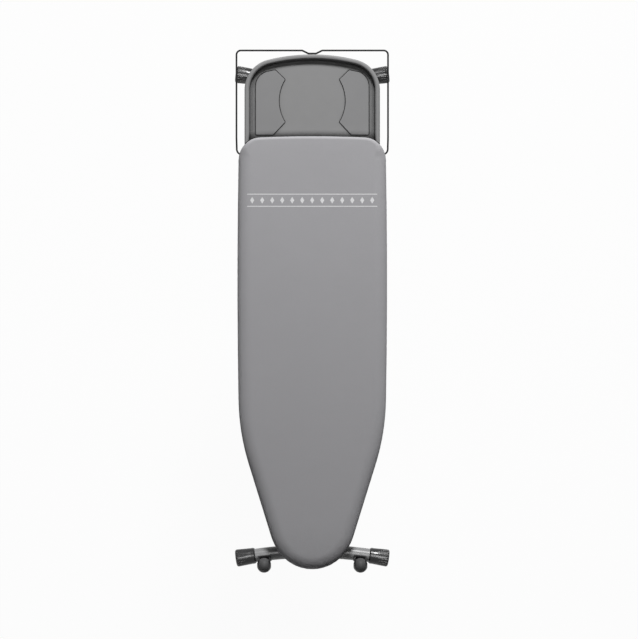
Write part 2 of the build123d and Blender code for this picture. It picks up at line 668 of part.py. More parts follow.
rail = block(
    RAIL_X,
    rail_web,
    SLIDER_Y - RAIL_OVERRUN,
    SLIDER_OPEN_Y + RAIL_OVERRUN,
    PIVOT_Z - RAIL_HOLLOW / 2 - RAIL_WALL,
    RAIL_TOP,
)
rail -= block(
    RAIL_X,
    rail_web - RAIL_WALL,
    SLIDER_Y - RAIL_OVERRUN + RAIL_WALL,
    SLIDER_OPEN_Y + RAIL_OVERRUN - RAIL_WALL,
    PIVOT_Z - RAIL_HOLLOW / 2,
    PIVOT_Z + RAIL_HOLLOW / 2,
)
save_pair("slide_rail", rail)

# Height lock
housing_x = HOUSING_W / 2
housing_low = RAIL_TOP - HOUSING_DROP
housing = block(-housing_x, housing_x, LOCK_Y - HOUSING_HALF, LOCK_Y + HOUSING_HALF, housing_low, RAIL_TOP)
housing -= block(
    -housing_x,
    housing_x,
    LOCK_Y - HOUSING_HALF + HOUSING_WALL,
    LOCK_Y + HOUSING_HALF - HOUSING_WALL,
    housing_low,
    RAIL_TOP - HOUSING_WALL,
)
housing -= bar_y(ROD_D + 2 * AIR, LOCK_Y - HOUSING_W, LOCK_Y + HOUSING_W, z=PIVOT_Z)
plate_low = PIVOT_Z - LOCK_PLATE_H / 2
plate_high = PIVOT_Z + LOCK_PLATE_H / 2
fulcrum = post(FULCRUM_D, plate_low - LOCK_PLATE_T, RAIL_TOP - HOUSING_WALL, FULCRUM_X, LOCK_Y)
fulcrum += post(FULCRUM_EYE_D, plate_low - LOCK_PLATE_T, plate_low - AIR, FULCRUM_X, LOCK_Y)

half_t = LOCK_PLATE_T / 2
arm_low = PIVOT_Z + ARM_ABOVE_ROD
arm_high = arm_low + LEVER_ARM_H
tang_high = arm_low + LEVER_ARM_H - TANG_DROP
lock_plate = block(0, LOCK_PLATE_X - FULCRUM_X, -half_t, half_t, plate_low, plate_high)
lock_plate += block(
    LOCK_PLATE_X - LOCK_PLATE_T - FULCRUM_X, LEVER_ARM_END - FULCRUM_X, -half_t, half_t, arm_low, arm_high
)
lock_plate = fillet(lock_plate.edges().filter_by(Axis.Y).group_by(Axis.X)[-1], LOCK_PLATE_T)
lock_plate += block(
    GRIP_START - FULCRUM_X, TANG_END - FULCRUM_X, -half_t, half_t, tang_high - TANG_H, tang_high
)
lock_plate += post(FULCRUM_EYE_D, plate_low, plate_high, 0, 0)
lock_plate -= post(FULCRUM_D + 2 * SLIP, plate_low, plate_high, 0, 0)
lock_plate -= bar_y(ROD_D + 2 * LOCK_HOLE_EASE, -FULCRUM_EYE_D, FULCRUM_EYE_D, x=-FULCRUM_X, z=PIVOT_Z)
grip = block(
    GRIP_START - FULCRUM_X,
    GRIP_END - FULCRUM_X,
    -GRIP_T / 2,
    GRIP_T / 2,
    ARM_TOP - GRIP_H,
    ARM_TOP,
)
grip = fillet(grip.edges(), GRIP_ROUND)
grip -= block(
    GRIP_START - FULCRUM_X,
    TANG_END - FULCRUM_X,
    -half_t,
    half_t,
    tang_high - TANG_H,
    tang_high,
)
grip -= block(GRIP_START - FULCRUM_X, LEVER_ARM_END - FULCRUM_X, -half_t, half_t, arm_low, arm_high)
lever_place = Pos(FULCRUM_X, LOCK_Y, 0) * Rot(Z=-LOCK_TILT)

spring_start = LOCK_Y + half_t + SPRING_SEAT
spring_length = LOCK_Y + HOUSING_HALF - HOUSING_WALL - AIR - SPRING_WIRE / 2 - spring_start - SPRING_WIRE / 2
coil = Helix(pitch=spring_length / SPRING_TURNS, height=spring_length, radius=SPRING_R)
spring = sweep(Plane(origin=coil @ 0, z_dir=coil % 0) * Circle(SPRING_WIRE / 2), path=coil)
spring = Pos(0, spring_start + SPRING_WIRE / 2, PIVOT_Z) * Rot(X=-90) * spring

save("clamp_housing", housing)
save("fulcrum_pin", fulcrum)
save("clamp_spring", spring)
save("lock_plate", lever_place * lock_plate)
save("lever_grip", lever_place * grip)

# Board frame
frame_inner = FRAME_INSET + FRAME_W
frame = board_ring(FRAME_INSET, frame_inner, FRAME_Z, MESH_Z)
frame -= board_ring(FRAME_INSET + FRAME_WALL, frame_inner - FRAME_WALL, FRAME_Z, MESH_Z - FRAME_WALL)
save("perimeter_frame", frame)

frame_inside = prism(board_outline(frame_inner), RAIL_TOP, MESH_Z)
for number, y in enumerate((OUTER_PIVOT_Y, CROSS_2_Y, LOCK_Y, CROSS_4_Y, CROSS_5_Y), start=1):
    bar = block(-BOARD_WIDTH / 2, BOARD_WIDTH / 2, y - CROSS_W / 2, y + CROSS_W / 2, RAIL_TOP, MESH_Z)
    bar -= block(
        -BOARD_WIDTH / 2,
        BOARD_WIDTH / 2,
        y - CROSS_W / 2 + CROSS_WALL,
        y + CROSS_W / 2 - CROSS_WALL,
        RAIL_TOP + CROSS_WALL,
        MESH_Z,
    )
    save(f"cross_member_{number}", bar & frame_inside)

# Mesh top: one face with its diamond holes
mesh_plan = board_outline(FRAME_INSET)
hole_room = board_outline(MESH_RIM)
holes = []
rows = int(BOARD_LENGTH / MESH_PITCH_Y)
columns = int(BOARD_WIDTH / MESH_PITCH_X)
for row in range(1, 2 * rows):
    for column in range(-columns, columns + 1):
        if (row + column) % 2:
            continue
        x = column * MESH_PITCH_X / 2
        y = -row * MESH_PITCH_Y / 2
        corners = [
            Vector(x + MESH_HOLE_X / 2, y, 0),
            Vector(x, y + MESH_HOLE_Y / 2, 0),
            Vector(x - MESH_HOLE_X / 2, y, 0),
            Vector(x, y - MESH_HOLE_Y / 2, 0),
        ]
        if all(hole_room.is_inside(corner) for corner in corners):
            holes.append(Wire.make_polygon(corners))
mesh_top = prism(Face(mesh_plan.face().outer_wire(), holes), MESH_Z, MESH_Z + MESH_T)
save("mesh_top", mesh_top)

# Soft layers
felt_pad = rolled_block(COVER_T + CLOTH_AIR, RAIL_TOP - PAD_LAP, PAD_Z + PAD_T)
felt_pad -= prism(board_outline(FRAME_INSET - CLOTH_AIR), RAIL_TOP - PAD_LAP, PAD_Z)
save("felt_pad", felt_pad)

cover = rolled_block(0.0, HEM_Z, TOP_Z)
cover = fillet(cover.edges().group_by(Axis.Z)[0], COVER_FOLD_R)
cavity = rolled_block(COVER_T, HEM_TOP, COVER_INNER_Z)
cover = cover - cavity - prism(board_outline(HEM_WIDTH), HEM_Z, HEM_TOP)


def hem_band(size, rounding):
    """Round-edged band along the hem's inner edge."""
    band = board_ring(HEM_WIDTH - size / 2, HEM_WIDTH + size / 2, BEAD_Z - size / 2, BEAD_Z + size / 2)
    edges = band.edges()
    return fillet(edges.group_by(Axis.Z)[-1] + edges.group_by(Axis.Z)[0], rounding)


cover = cover + hem_band(HEM_BEAD, HEM_BEAD / 2 - CLOTH_AIR) - hem_band(HEM_TUNNEL, HEM_TUNNEL_R)
save("cover", cover)
save("hem_elastic", hem_band(ELASTIC, ELASTIC_R))

# Leg pivot brackets
bracket_x = outer_x_end + AIR + BUSH_FLANGE_T
bracket = block(
    bracket_x,
    bracket_x + BRACKET_T,
    OUTER_PIVOT_Y - BRACKET_HALF,
    OUTER_PIVOT_Y + BRACKET_HALF,
    PIVOT_Z - BRACKET_BELOW,
    RAIL_TOP,
)
bracket = fillet(bracket.edges().filter_by(Axis.X).group_by(Axis.Z)[0], BRACKET_BELOW - BRACKET_T)
bracket += block(
    bracket_x,
    bracket_x + BRACKET_FLANGE,
    OUTER_PIVOT_Y - BRACKET_HALF,
    OUTER_PIVOT_Y + BRACKET_HALF,
    RAIL_TOP - BRACKET_T,
    RAIL_TOP,
)
bracket -= rod(BUSH_D, bracket_x, bracket_x + BRACKET_T, y=OUTER_PIVOT_Y, z=PIVOT_Z)
bush = rod(BUSH_D - 2 * SNUG, bracket_x, bracket_x + BRACKET_T, y=OUTER_PIVOT_Y, z=PIVOT_Z)
bush += rod(BUSH_FLANGE_D, bracket_x - BUSH_FLANGE_T, bracket_x, y=OUTER_PIVOT_Y, z=PIVOT_Z)
bush -= rod(JOURNAL_D + 2 * SLIP, outer_x_end, bracket_x + BRACKET_T, y=OUTER_PIVOT_Y, z=PIVOT_Z)
save_pair("pivot_bracket", bracket)
save("pivot_bushes", bush, left(bush))

# Outline of the right raised pad
pad_edges = [
    Line((PAD_FAR_X, PAD_FAR_Y), (PAD_HORN_X, PAD_HORN_FAR_Y)),
    ThreePointArc(
        (PAD_HORN_X, PAD_HORN_FAR_Y),
        (PAD_WAIST_X, (PAD_HORN_FAR_Y + PAD_HORN_NEAR_Y) / 2),
        (PAD_HORN_X, PAD_HORN_NEAR_Y),
    ),
    Line((PAD_HORN_X, PAD_HORN_NEAR_Y), (PAD_NEAR_X, PAD_NEAR_Y)),
    Line((PAD_NEAR_X, PAD_NEAR_Y), (PAD_SIDE_X, PAD_NEAR_Y)),
    Line((PAD_SIDE_X, PAD_NEAR_Y), (PAD_SIDE_X, PAD_SHOULDER_Y)),
    ThreePointArc(
        (PAD_SIDE_X, PAD_SHOULDER_Y), PAD_SHOULDER_MID, (PAD_SHOULDER_X, PAD_SHOULDER_TOP)
    ),
    Line((PAD_SHOULDER_X, PAD_SHOULDER_TOP), (PAD_FAR_X, PAD_FAR_Y)),
]
pad_plan = make_face(pad_edges)
pad_plan = fillet(pad_plan.vertices(), PAD_CORNER_R)

# Tray: a shell with a rolled rim, ribs under its floor and a groove round each pad
wall_inset = TRAY_CREST + TRAY_ROLL


def rim_edges(shape, inset, z):
    """Edges at a height that follow the tray's outline at an inset, but for its open back."""
    outline = (Pos(0, 0, z) * tray_outline(inset)).face().outer_wire()
    middles = [(edge, edge @ 0.5) for edge in shape.edges()]
    return [e for e, middle in middles if middle.Y > AIR - TRAY_TUCK and outline.distance_to(middle) < SNUG]


tray = prism(tray_outline(), SKIRT_Z, RIM_TOP) - prism(tray_outline(wall_inset), FLOOR_TOP, RIM_TOP)
tray = fillet(rim_edges(tray, 0, RIM_TOP), TRAY_OUTER_ROUND)
tray = fillet(rim_edges(tray, wall_inset, FLOOR_TOP), TRAY_COVE)
tray = fillet(rim_edges(tray, wall_inset, RIM_TOP), TRAY_ROLL)
tray_inside = prism(tray_outline(TRAY_WALL), SKIRT_Z, RIM_TOP - TRAY_HOLLOW)
tray_inside -= prism(board_outline(-TRAY_GAP - TRAY_WALL), SKIRT_Z, RIM_TOP)
tray -= tray_inside - prism(tray_outline(wall_inset - TRAY_WALL), FLOOR_Z, RIM_TOP)
ribs = [block(-TRAY_HALF, TRAY_HALF, y - RIB_T / 2, y + RIB_T / 2, SKIRT_Z, FLOOR_Z) for y in RIB_YS]
ribs += [block(x - RIB_T / 2, x + RIB_T / 2, 0, TRAY_REACH, SKIRT_Z, FLOOR_Z) for x in RIB_XS]
tray += [rib & tray_inside for rib in ribs]
for x in (-ARM_X, ARM_X):
    tray += block(x - LANDING_W / 2, x + LANDING_W / 2, 0, ARM_FRONT_Y - LANDING_W, ARM_TOP, FLOOR_Z) & prism(
        tray_outline(TRAY_WALL), ARM_TOP, FLOOR_Z
    )
notch_y = WIRE_REACH - NOTCH_IN
catch_top = NOTCH_Z - WIRE_D / 2 - AIR
catch_end = notch_y + WIRE_D / 2 - CATCH_SHORT
tray += block(-CATCH_HALF, CATCH_HALF, TRAY_REACH - CATCH_ROOT, catch_end, catch_top - CATCH_T, catch_top)
for y in PEG_YS:
    tray -= post(PEG_D, FLOOR_Z, FLOOR_TOP, PEG_X, y) + post(PEG_D, FLOOR_Z, FLOOR_TOP, -PEG_X, y)

arm = block(ARM_X - ARM_W / 2, ARM_X + ARM_W / 2, ARM_BACK_Y, ARM_FRONT_Y, ARM_Z, ARM_TOP)
arm -= block(
    ARM_X - ARM_W / 2 + TUBE_WALL,
    ARM_X + ARM_W / 2 - TUBE_WALL,
    ARM_BACK_Y,
    ARM_FRONT_Y,
    ARM_Z + TUBE_WALL,
    ARM_TOP - TUBE_WALL,
)
screws = []
for distance in SCREW_FROM_BUMPER:
    y = BUMPER_Y - distance
    hole = post(SCREW_D + 2 * SNUG, ARM_Z, ARM_TOP + SCREW_GRIP, ARM_X, y)
    arm -= hole
    tray -= hole + left(hole)
    screw = post(SCREW_D, ARM_Z, ARM_TOP + SCREW_GRIP, ARM_X, y)
    screw += post(SCREW_HEAD_D, ARM_Z - SCREW_HEAD_H, ARM_Z, ARM_X, y)
    screws += [screw, left(screw)]
groove = prism(offset(pad_plan, PAD_GROOVE_W), FLOOR_TOP - PAD_GROOVE_DEPTH, FLOOR_TOP)
groove -= prism(pad_plan, FLOOR_TOP - PAD_GROOVE_DEPTH, FLOOR_TOP)
tray -= groove + left(groove)
tray -= prism(board_outline(-TRAY_GAP), ARM_TOP, TOP_Z)
save("tray_shell", tray)
save_pair("tray_arm", arm)
save("tray_screws", *screws)

spacers = [
    block(ARM_X - ARM_W / 2, ARM_X + ARM_W / 2, y - CROSS_W / 2, y + CROSS_W / 2, ARM_TOP, RAIL_TOP)
    for y in (OUTER_PIVOT_Y, CROSS_2_Y)
]
save("arm_spacers", *spacers, *[left(spacer) for spacer in spacers])

bumper = post(BUMPER_D, BUMPER_Z, ARM_Z, ARM_X, BUMPER_Y)
bumper = fillet(bumper.edges().group_by(Axis.Z)[0], SHOE_ROUND)
save("fold_bumpers", bumper, left(bumper))

# Raised pads, with pegs through the tray's floor
tray_pad = prism(pad_plan, FLOOR_TOP, FLOOR_TOP + PAD_RISE)
tray_pad = fillet(tray_pad.edges().group_by(Axis.Z)[-1], PAD_EDGE_ROUND)
tray_pad += [post(PEG_D - 2 * SNUG, FLOOR_Z - PEG_TAIL, FLOOR_TOP, PEG_X, y) for y in PEG_YS]
save_pair("tray_pad", tray_pad)

# Hanger rail and the blocks that it turns in
block_x = ARM_X + ARM_W / 2
rail_block = block(
    block_x, block_x + BLOCK_T, WIRE_PIVOT_Y - BLOCK_HALF, WIRE_PIVOT_Y + BLOCK_HALF, ARM_Z, ARM_TOP
)
rail_block = fillet(rail_block.edges().filter_by(Axis.X), SHOE_ROUND)
rail_block -= rod(
    WIRE_D + 2 * SLIP, WIRE_PIN_X - BLOCK_BORE_END, block_x + BLOCK_T, y=WIRE_PIVOT_Y, z=WIRE_PIVOT_Z
)
save_pair("rail_block", rail_block)

wire_half = [
    (WIRE_PIN_X, WIRE_PIVOT_Y, WIRE_PIVOT_Z),
    (WIRE_X, WIRE_PIVOT_Y, WIRE_PIVOT_Z),
    (WIRE_X, WIRE_LEVEL_Y, WIRE_PIVOT_Z),
    (WIRE_X, WIRE_RISEN_Y, WIRE_Z),
    (WIRE_X, WIRE_REACH, WIRE_Z),
    (NOTCH_TOP, WIRE_REACH, WIRE_Z),
    (NOTCH_FOOT, notch_y, NOTCH_Z),
]
half_radii = [WIRE_TURN_R, WIRE_BEND_R, WIRE_BEND_R, WIRE_CORNER_R, NOTCH_R, NOTCH_R]
wire_points = wire_half + [(-x, y, z) for x, y, z in reversed(wire_half)]
save("hanger_rail", swept(bent_path(wire_points, half_radii + half_radii[::-1]), WIRE_D / 2))
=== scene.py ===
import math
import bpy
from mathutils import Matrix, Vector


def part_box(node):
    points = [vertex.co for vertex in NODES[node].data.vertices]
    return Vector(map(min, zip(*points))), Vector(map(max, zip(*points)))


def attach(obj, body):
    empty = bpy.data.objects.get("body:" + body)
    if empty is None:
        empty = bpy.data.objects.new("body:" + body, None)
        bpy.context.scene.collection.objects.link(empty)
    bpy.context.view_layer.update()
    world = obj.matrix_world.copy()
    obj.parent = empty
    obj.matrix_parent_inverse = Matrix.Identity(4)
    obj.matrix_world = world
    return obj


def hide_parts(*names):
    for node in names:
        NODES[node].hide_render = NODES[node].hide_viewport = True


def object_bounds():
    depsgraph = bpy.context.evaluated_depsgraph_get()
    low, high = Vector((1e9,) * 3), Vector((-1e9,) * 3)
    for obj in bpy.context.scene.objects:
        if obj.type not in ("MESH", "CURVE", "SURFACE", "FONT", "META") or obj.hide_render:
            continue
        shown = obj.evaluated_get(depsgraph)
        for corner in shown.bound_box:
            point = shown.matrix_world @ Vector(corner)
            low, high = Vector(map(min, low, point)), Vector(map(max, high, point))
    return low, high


bl_info = {
    "name": "Folding ironing board",
    "version": (1, 0, 0),
    "blender": (4, 5, 0),
    "location": "View3D > Sidebar > Ironing board",
    "description": "Dresses the solids of a folding ironing board with cloth, felt, paint, plastic and steel",
    "category": "Object",
}

import bpy
import numpy as np
from bpy.props import FloatProperty, FloatVectorProperty, IntProperty, PointerProperty
from mathutils import Vector
from mathutils.geometry import convex_hull_2d

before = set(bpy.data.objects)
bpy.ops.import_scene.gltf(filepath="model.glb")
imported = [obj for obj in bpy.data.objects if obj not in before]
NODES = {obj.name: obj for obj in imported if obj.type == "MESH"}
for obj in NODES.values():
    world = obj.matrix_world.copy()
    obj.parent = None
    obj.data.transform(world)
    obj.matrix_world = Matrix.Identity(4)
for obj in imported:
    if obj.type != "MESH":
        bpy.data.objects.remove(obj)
CAD_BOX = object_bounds()
BOARD = "board"
COVER_LOW, COVER_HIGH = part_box("cover")
ELASTIC_LOW, ELASTIC_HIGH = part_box("hem_elastic")
ELASTIC_Z = (ELASTIC_LOW.z + ELASTIC_HIGH.z) / 2
ELASTIC_RADIUS = (ELASTIC_HIGH.z - ELASTIC_LOW.z) / 2
MESH_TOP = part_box("mesh_top")[1].z
SIDES = ("left", "right")


# Settings


def colour_setting(name, default, what):
    """A colour that a user may change."""
    return FloatVectorProperty(
        name=name, description=what, default=default, size=3, min=0.0, max=1.0, subtype="COLOR"
    )


def length_setting(name, default, what):
    """A length that a user may change."""
    return FloatProperty(
        name=name, description=what, default=default, min=0.0, unit="LENGTH", subtype="DISTANCE"
    )


def place_setting(name, default, what):
    """A place on an axis that a user may change."""
    return FloatProperty(name=name, description=what, default=default, unit="LENGTH", subtype="DISTANCE")


def power_setting(name, default, what):
    """A lamp's power that a user may change."""
    return FloatProperty(name=name, description=what, default=default, min=0.0, unit="POWER")


def count_setting(name, default, what):
    """A count that a user may change."""
    return IntProperty(name=name, description=what, default=default, min=1)


class ClothSettings(bpy.types.PropertyGroup):
    """Sizes of the cover, its hem and the felt."""

    step: length_setting("Step", 0.005, "Distance between points along the board's edge")
    edge_width: length_setting("Edge width", 0.038, "Width of the padded roll along the upper edge")
    edge_height: length_setting("Edge height", 0.0242, "Height of the padded roll along the upper edge")
    end_width: length_setting("End width", 0.009, "Width of the roll along the wide end")
    end_height: length_setting("End height", 0.009, "Height of the roll along the wide end")
    nose_reach: length_setting("Nose reach", 0.13, "Length of the tip that bows down")
    nose_drop: length_setting("Nose drop", 0.0045, "How far the tip bows down")
    fold_round: length_setting("Fold round", 0.003, "Radius where the cover turns under the board")
    hem: length_setting("Hem", 0.0405, "Width of the hem under the board, to the middle of its elastic")
    tunnel: length_setting("Tunnel", 0.0032, "Radius of the tunnel that holds the elastic")
    cloth: length_setting("Cloth", 0.0012, "Thickness of the cloth")
    gather: length_setting("Gather", 0.0016, "Depth of the gathers in the hem")
    puff: length_setting("Puff", 0.0016, "Most that the padding lifts the cloth")
    swell: length_setting("Swell", 0.0009, "Most that the felt swells")
    felt_cell: length_setting("Felt cell", 0.0038, "Size of the felt's mesh cells")
    cover_frames: count_setting("Cover frames", 14, "Steps of the cover's simulation")
    felt_frames: count_setting("Felt frames", 10, "Steps of the felt's simulation")


class FinishSettings(bpy.types.PropertyGroup):
    """Colours of the board."""

    cover: colour_setting("Cover", (0.306, 0.303, 0.314), "Woven cotton of the cover")
    band: colour_setting("Band", (0.72, 0.72, 0.73), "Printed band on the cover")
    elastic: colour_setting("Elastic", (0.55, 0.55, 0.53), "Elastic in the hem")
    felt: colour_setting("Felt", (0.60, 0.59, 0.57), "Needle felt under the cover")
    mesh: colour_setting("Mesh", (0.42, 0.43, 0.44), "Steel mesh")
    frame: colour_setting("Frame", (0.17, 0.175, 0.18), "Powder coat of the board's frame")
    leg: colour_setting("Leg", (0.185, 0.186, 0.188), "Powder coat of the legs")
    tray: colour_setting("Tray", (0.186, 0.186, 0.187), "Moulded tray")
    pad: colour_setting("Pad", (0.186, 0.186, 0.188), "Soft pads on the tray")
    wire: colour_setting("Wire", (0.009, 0.009, 0.0095), "Coated wire of the rail")
    black: colour_setting("Black", (0.013, 0.013, 0.0135), "Black moulded parts")
    rubber: colour_setting("Rubber", (0.058, 0.058, 0.059), "Rubber of the balls and bumpers")
    nylon: colour_setting("Nylon", (0.44, 0.43, 0.40), "Sliding parts and bushes")
    steel: colour_setting("Steel", (0.56, 0.57, 0.58), "Plated steel")


class StageSettings(bpy.types.PropertyGroup):
    """Camera, lamps and floor."""

    camera_x: place_setting("Camera X", 0.019, "Camera to the right of the board's middle")
    camera_y: place_setting("Camera Y", -0.02196, "Camera along the board")
    camera_z: place_setting("Camera Z", 5.1, "Camera above the feet")
    lens: FloatProperty(name="Lens", description="Focal length in millimetres", default=100.76, min=1.0)
    floor_z: place_setting("Floor", -0.8215, "Floor under the feet with the legs open")
    key: power_setting("Key", 630.0, "Power of the lamp beyond the tray")
    gloss: power_setting("Gloss", 85.0, "Power of the lamp above, for gloss only")
    under: power_setting("Under", 80.0, "Power of the lamp below")
    low: power_setting("Low", 40.0, "Power of the low lamp beyond the tip")
    fill: FloatProperty(name="Fill", description="Strength of the light all round", default=0.022, min=0.0)


# Working by hand in code

CLOTH_QUALITY = 4
CLOTH_MASS = 0.25
CLOTH_STIFFNESS = 18.0
CLOTH_BENDING = 0.6
STILL = 1e-9


def only(obj):
    """Select one object and make it active."""
    bpy.ops.object.select_all(action="DESELECT")
    obj.select_set(True)
    bpy.context.view_layer.objects.active = obj


def apply_all(obj):
    """Apply an object's modifiers in order."""
    only(obj)
    for modifier in list(obj.modifiers):
        bpy.ops.object.modifier_apply(modifier=modifier.name)


def smooth(obj, degrees):
    """Smooth shading that keeps edges sharper than an angle."""
    only(obj)
    bpy.ops.object.shade_smooth_by_angle(angle=math.radians(degrees))


def mesh_piece(name, points, faces):
    """A new object from points and faces."""
    mesh = bpy.data.meshes.new(name)
    mesh.from_pydata([tuple(p) for p in points], [], faces)
    mesh.update()
    piece = bpy.data.objects.new(name, mesh)
    bpy.context.scene.collection.objects.link(piece)
    return piece


def merge_points(piece, distance):
    """Merge points that fall together and turn the faces outwards."""
    only(piece)
    bpy.ops.object.mode_set(mode="EDIT")
    bpy.ops.mesh.select_all(action="SELECT")
    bpy.ops.mesh.remove_doubles(threshold=distance)
    bpy.ops.mesh.normals_make_consistent(inside=False)
    bpy.ops.object.mode_set(mode="OBJECT")


def points_of(obj):
    """An object's points as an array."""
    flat = np.empty(len(obj.data.vertices) * 3, np.float64)
    obj.data.vertices.foreach_get("co", flat)
    return flat.reshape(-1, 3)


def place_points(obj, points):
    """Write an object's points back."""
    obj.data.vertices.foreach_set("co", np.asarray(points, np.float64).ravel())
    obj.data.update()


def ease(value):
    """Smooth step from 0 to 1."""
    value = np.clip(value, 0.0, 1.0)
    return value * value * (3.0 - 2.0 * value)


def board_edge(step):
    """Points round the cover's plan at equal steps, alike on both sides, with their normals and distances."""
    plan = [(v.co.x, v.co.y) for v in NODES["cover"].data.vertices]
    corners = np.array([plan[i] for i in convex_hull_2d(plan)])
    side = corners[corners[:, 0] > step]
    side = side[np.argsort(side[:, 1])]
    half = np.vstack([[0.0, COVER_LOW.y], side, [0.0, COVER_HIGH.y]])
    along = np.concatenate([[0.0], np.cumsum(np.linalg.norm(np.diff(half, axis=0), axis=1))])
    count = int(round(along[-1] / step))
    at = np.linspace(0.0, along[-1], count + 1)
    right = np.stack([np.interp(at, along, half[:, k]) for k in range(2)], axis=1)
    edge = np.vstack([right, right[-2:0:-1] * (-1.0, 1.0)])
    heading = np.roll(edge, -2, axis=0) - np.roll(edge, 2, axis=0)
    normal = np.stack([heading[:, 1], -heading[:, 0]], axis=1)
    normal /= np.linalg.norm(normal, axis=1)[:, None]
    return edge, normal, np.arange(2 * count) * along[-1] / count


def ring_faces(rings):
    """Quads between neighbouring rings of equal count, outside faces up."""
    count = len(rings[0])
    faces = []
    for row in range(len(rings) - 1):
        here = row * count
        below = here + count
        for k in range(count):
            after = (k + 1) % count
            faces.append((here + k, below + k, below + after, here + after))
    return faces


def simulate(piece, frames, pressure, cap, pins=None):
    """Let cloth settle under pressure, and keep every point within the cap of where it started."""
    start = points_of(piece)
    cloth = piece.modifiers.new("Cloth", "CLOTH")
    settings = cloth.settings
    settings.quality = CLOTH_QUALITY
    settings.mass = CLOTH_MASS
    settings.tension_stiffness = CLOTH_STIFFNESS
    settings.compression_stiffness = CLOTH_STIFFNESS
    settings.shear_stiffness = CLOTH_STIFFNESS / 2
    settings.bending_stiffness = CLOTH_BENDING
    settings.use_pressure = True
    settings.uniform_pressure_force = pressure
    settings.effector_weights.gravity = 0.0
    cloth.collision_settings.use_collision = False
    cloth.point_cache.frame_start = 1
    cloth.point_cache.frame_end = frames
    if pins:
        settings.vertex_group_mass = pins
    scene = bpy.context.scene
    for number in range(1, frames + 1):
        scene.frame_set(number)
    apply_all(piece)
    scene.frame_set(1)
    moved = points_of(piece) - start
    reach = np.linalg.norm(moved, axis=1)
    share = np.minimum(1.0, cap / np.maximum(reach, STILL))
    place_points(piece, start + moved * share[:, None])


# Finishes
# A noise is given by its cells for each metre, its detail and its roughness. A fit is given by the range
# that it reads and the range that it gives, and a rise by its height in metres and its strength.

GLOSS_FROM = (0.3, 0.7)
# Painted shade: ambient occlusion darkens a moulded finish's colour in corners and grooves.
CORNER_SHADE_SAMPLES = 12
CORNER_SHADE_FIT = (0.95, 0.68, 0.0, 1.0)
CORNER_SHADE_DARKNESS = 0.06
CORNER_SHADE_REACH = 0.022


def put(tree, kind, settings=None, **sockets):
    """Add a shader node with its settings and socket values."""
    node = tree.nodes.new(kind)
    for name, value in (settings or {}).items():
        setattr(node, name, value)
    for name, value in sockets.items():
        node.inputs[name].default_value = value
    return node


def object_place(tree):
    """Object coordinates of a finish."""
    for node in tree.nodes:
        if node.bl_idname == "ShaderNodeTexCoord":
            return node.outputs["Object"]
    return put(tree, "ShaderNodeTexCoord").outputs["Object"]


def finish_start(name, roughness, metallic=0.0, specular=0.5):
    """A new finish with its plain values."""
    finish = bpy.data.materials.new(name)
    finish.use_nodes = True
    shader = finish.node_tree.nodes["Principled BSDF"]
    shader.inputs["Roughness"].default_value = roughness
    shader.inputs["Metallic"].default_value = metallic
    shader.inputs["Specular IOR Level"].default_value = specular
    return finish, finish.node_tree, shader


def noise(tree, scale, detail=3.0, rough=0.55):
    """Noise on object coordinates."""
    node = put(tree, "ShaderNodeTexNoise", Scale=scale, Detail=detail, Roughness=rough)
    tree.links.new(object_place(tree), node.inputs["Vector"])
    return node.outputs[0]


def fit(tree, value, low, high, to_low, to_high):
    """Map a value from one range to another."""
    node = put(tree, "ShaderNodeMapRange")
    tree.links.new(value, node.inputs["Value"])
    for name, number in (("From Min", low), ("From Max", high), ("To Min", to_low), ("To Max", to_high)):
        node.inputs[name].default_value = number
    return node.outputs["Result"]


def maths(tree, operation, first, second=None):
    """One step of arithmetic on values or sockets."""
    node = put(tree, "ShaderNodeMath", {"operation": operation})
    for socket, value in zip(node.inputs, (first, second)):
        if value is None:
            continue
        if isinstance(value, (int, float)):
            socket.default_value = value
        else:
            tree.links.new(value, socket)
    return node.outputs[0]


def mixed(tree, factor, first, second):
    """Mix two colours, each a tuple or a socket."""
    node = put(tree, "ShaderNodeMix", {"data_type": "RGBA"})
    tree.links.new(factor, node.inputs[0])
    for socket, value in ((node.inputs[6], first), (node.inputs[7], second)):
        if isinstance(value, tuple):
            socket.default_value = value
        else:
            tree.links.new(value, socket)
    return node.outputs[2]


def shade(colour, factor):
    """A colour made lighter or darker."""
    return tuple(min(1.0, c * factor) for c in colour) + (1.0,)


def drift(tree, pattern, colour, low, high):
    """A colour that drifts between two shades with a pattern."""
    return mixed(tree, pattern, shade(colour, low), shade(colour, high))


def uneven_gloss(tree, shader, pattern, low, high):
    """Let the roughness follow a pattern."""
    tree.links.new(fit(tree, pattern, *GLOSS_FROM, low, high), shader.inputs["Roughness"])


def raise_by(tree, shader, heights):
    """Chain bumps onto a shader; each is a height socket, its distance in metres and its strength."""
    before = None
    for height, distance, strength in heights:
        bump = put(tree, "ShaderNodeBump", Distance=distance, Strength=strength)
        tree.links.new(height, bump.inputs["Height"])
        if before:
            tree.links.new(before, bump.inputs["Normal"])
        before = bump.outputs["Normal"]
    tree.links.new(before, shader.inputs["Normal"])


def paint_corner_shade(tree, base, colour, reach):
    """Paint shade into a base colour: darker in corners and grooves, where ambient occlusion finds them."""
    corner = put(tree, "ShaderNodeAmbientOcclusion", {"samples": CORNER_SHADE_SAMPLES}, Distance=reach)
    return mixed(tree, fit(tree, corner.outputs["AO"], *CORNER_SHADE_FIT), base, shade(colour, CORNER_SHADE_DARKNESS))


MOULD_CLOUD = (14.0,)
MOULD_SPECK = (900.0, 2.0)
MOULD_SPECK_SHARE, MOULD_SPECK_STRENGTH = 0.4, 0.3
MOULD_SCUFF = (70.0, 6.0, 0.7)
MOULD_SCUFF_FIT = (0.62, 0.78, 0.0, 0.35)
MOULD_SCUFF_LIFT = 2.5
MOULD_GLOSS = (45.0, 4.0)
MOULD_SMOOTHER, MOULD_ROUGHER = 0.05, 0.07
GRAIN_DETAIL = 2.0
GRAIN_STRENGTH = 0.5


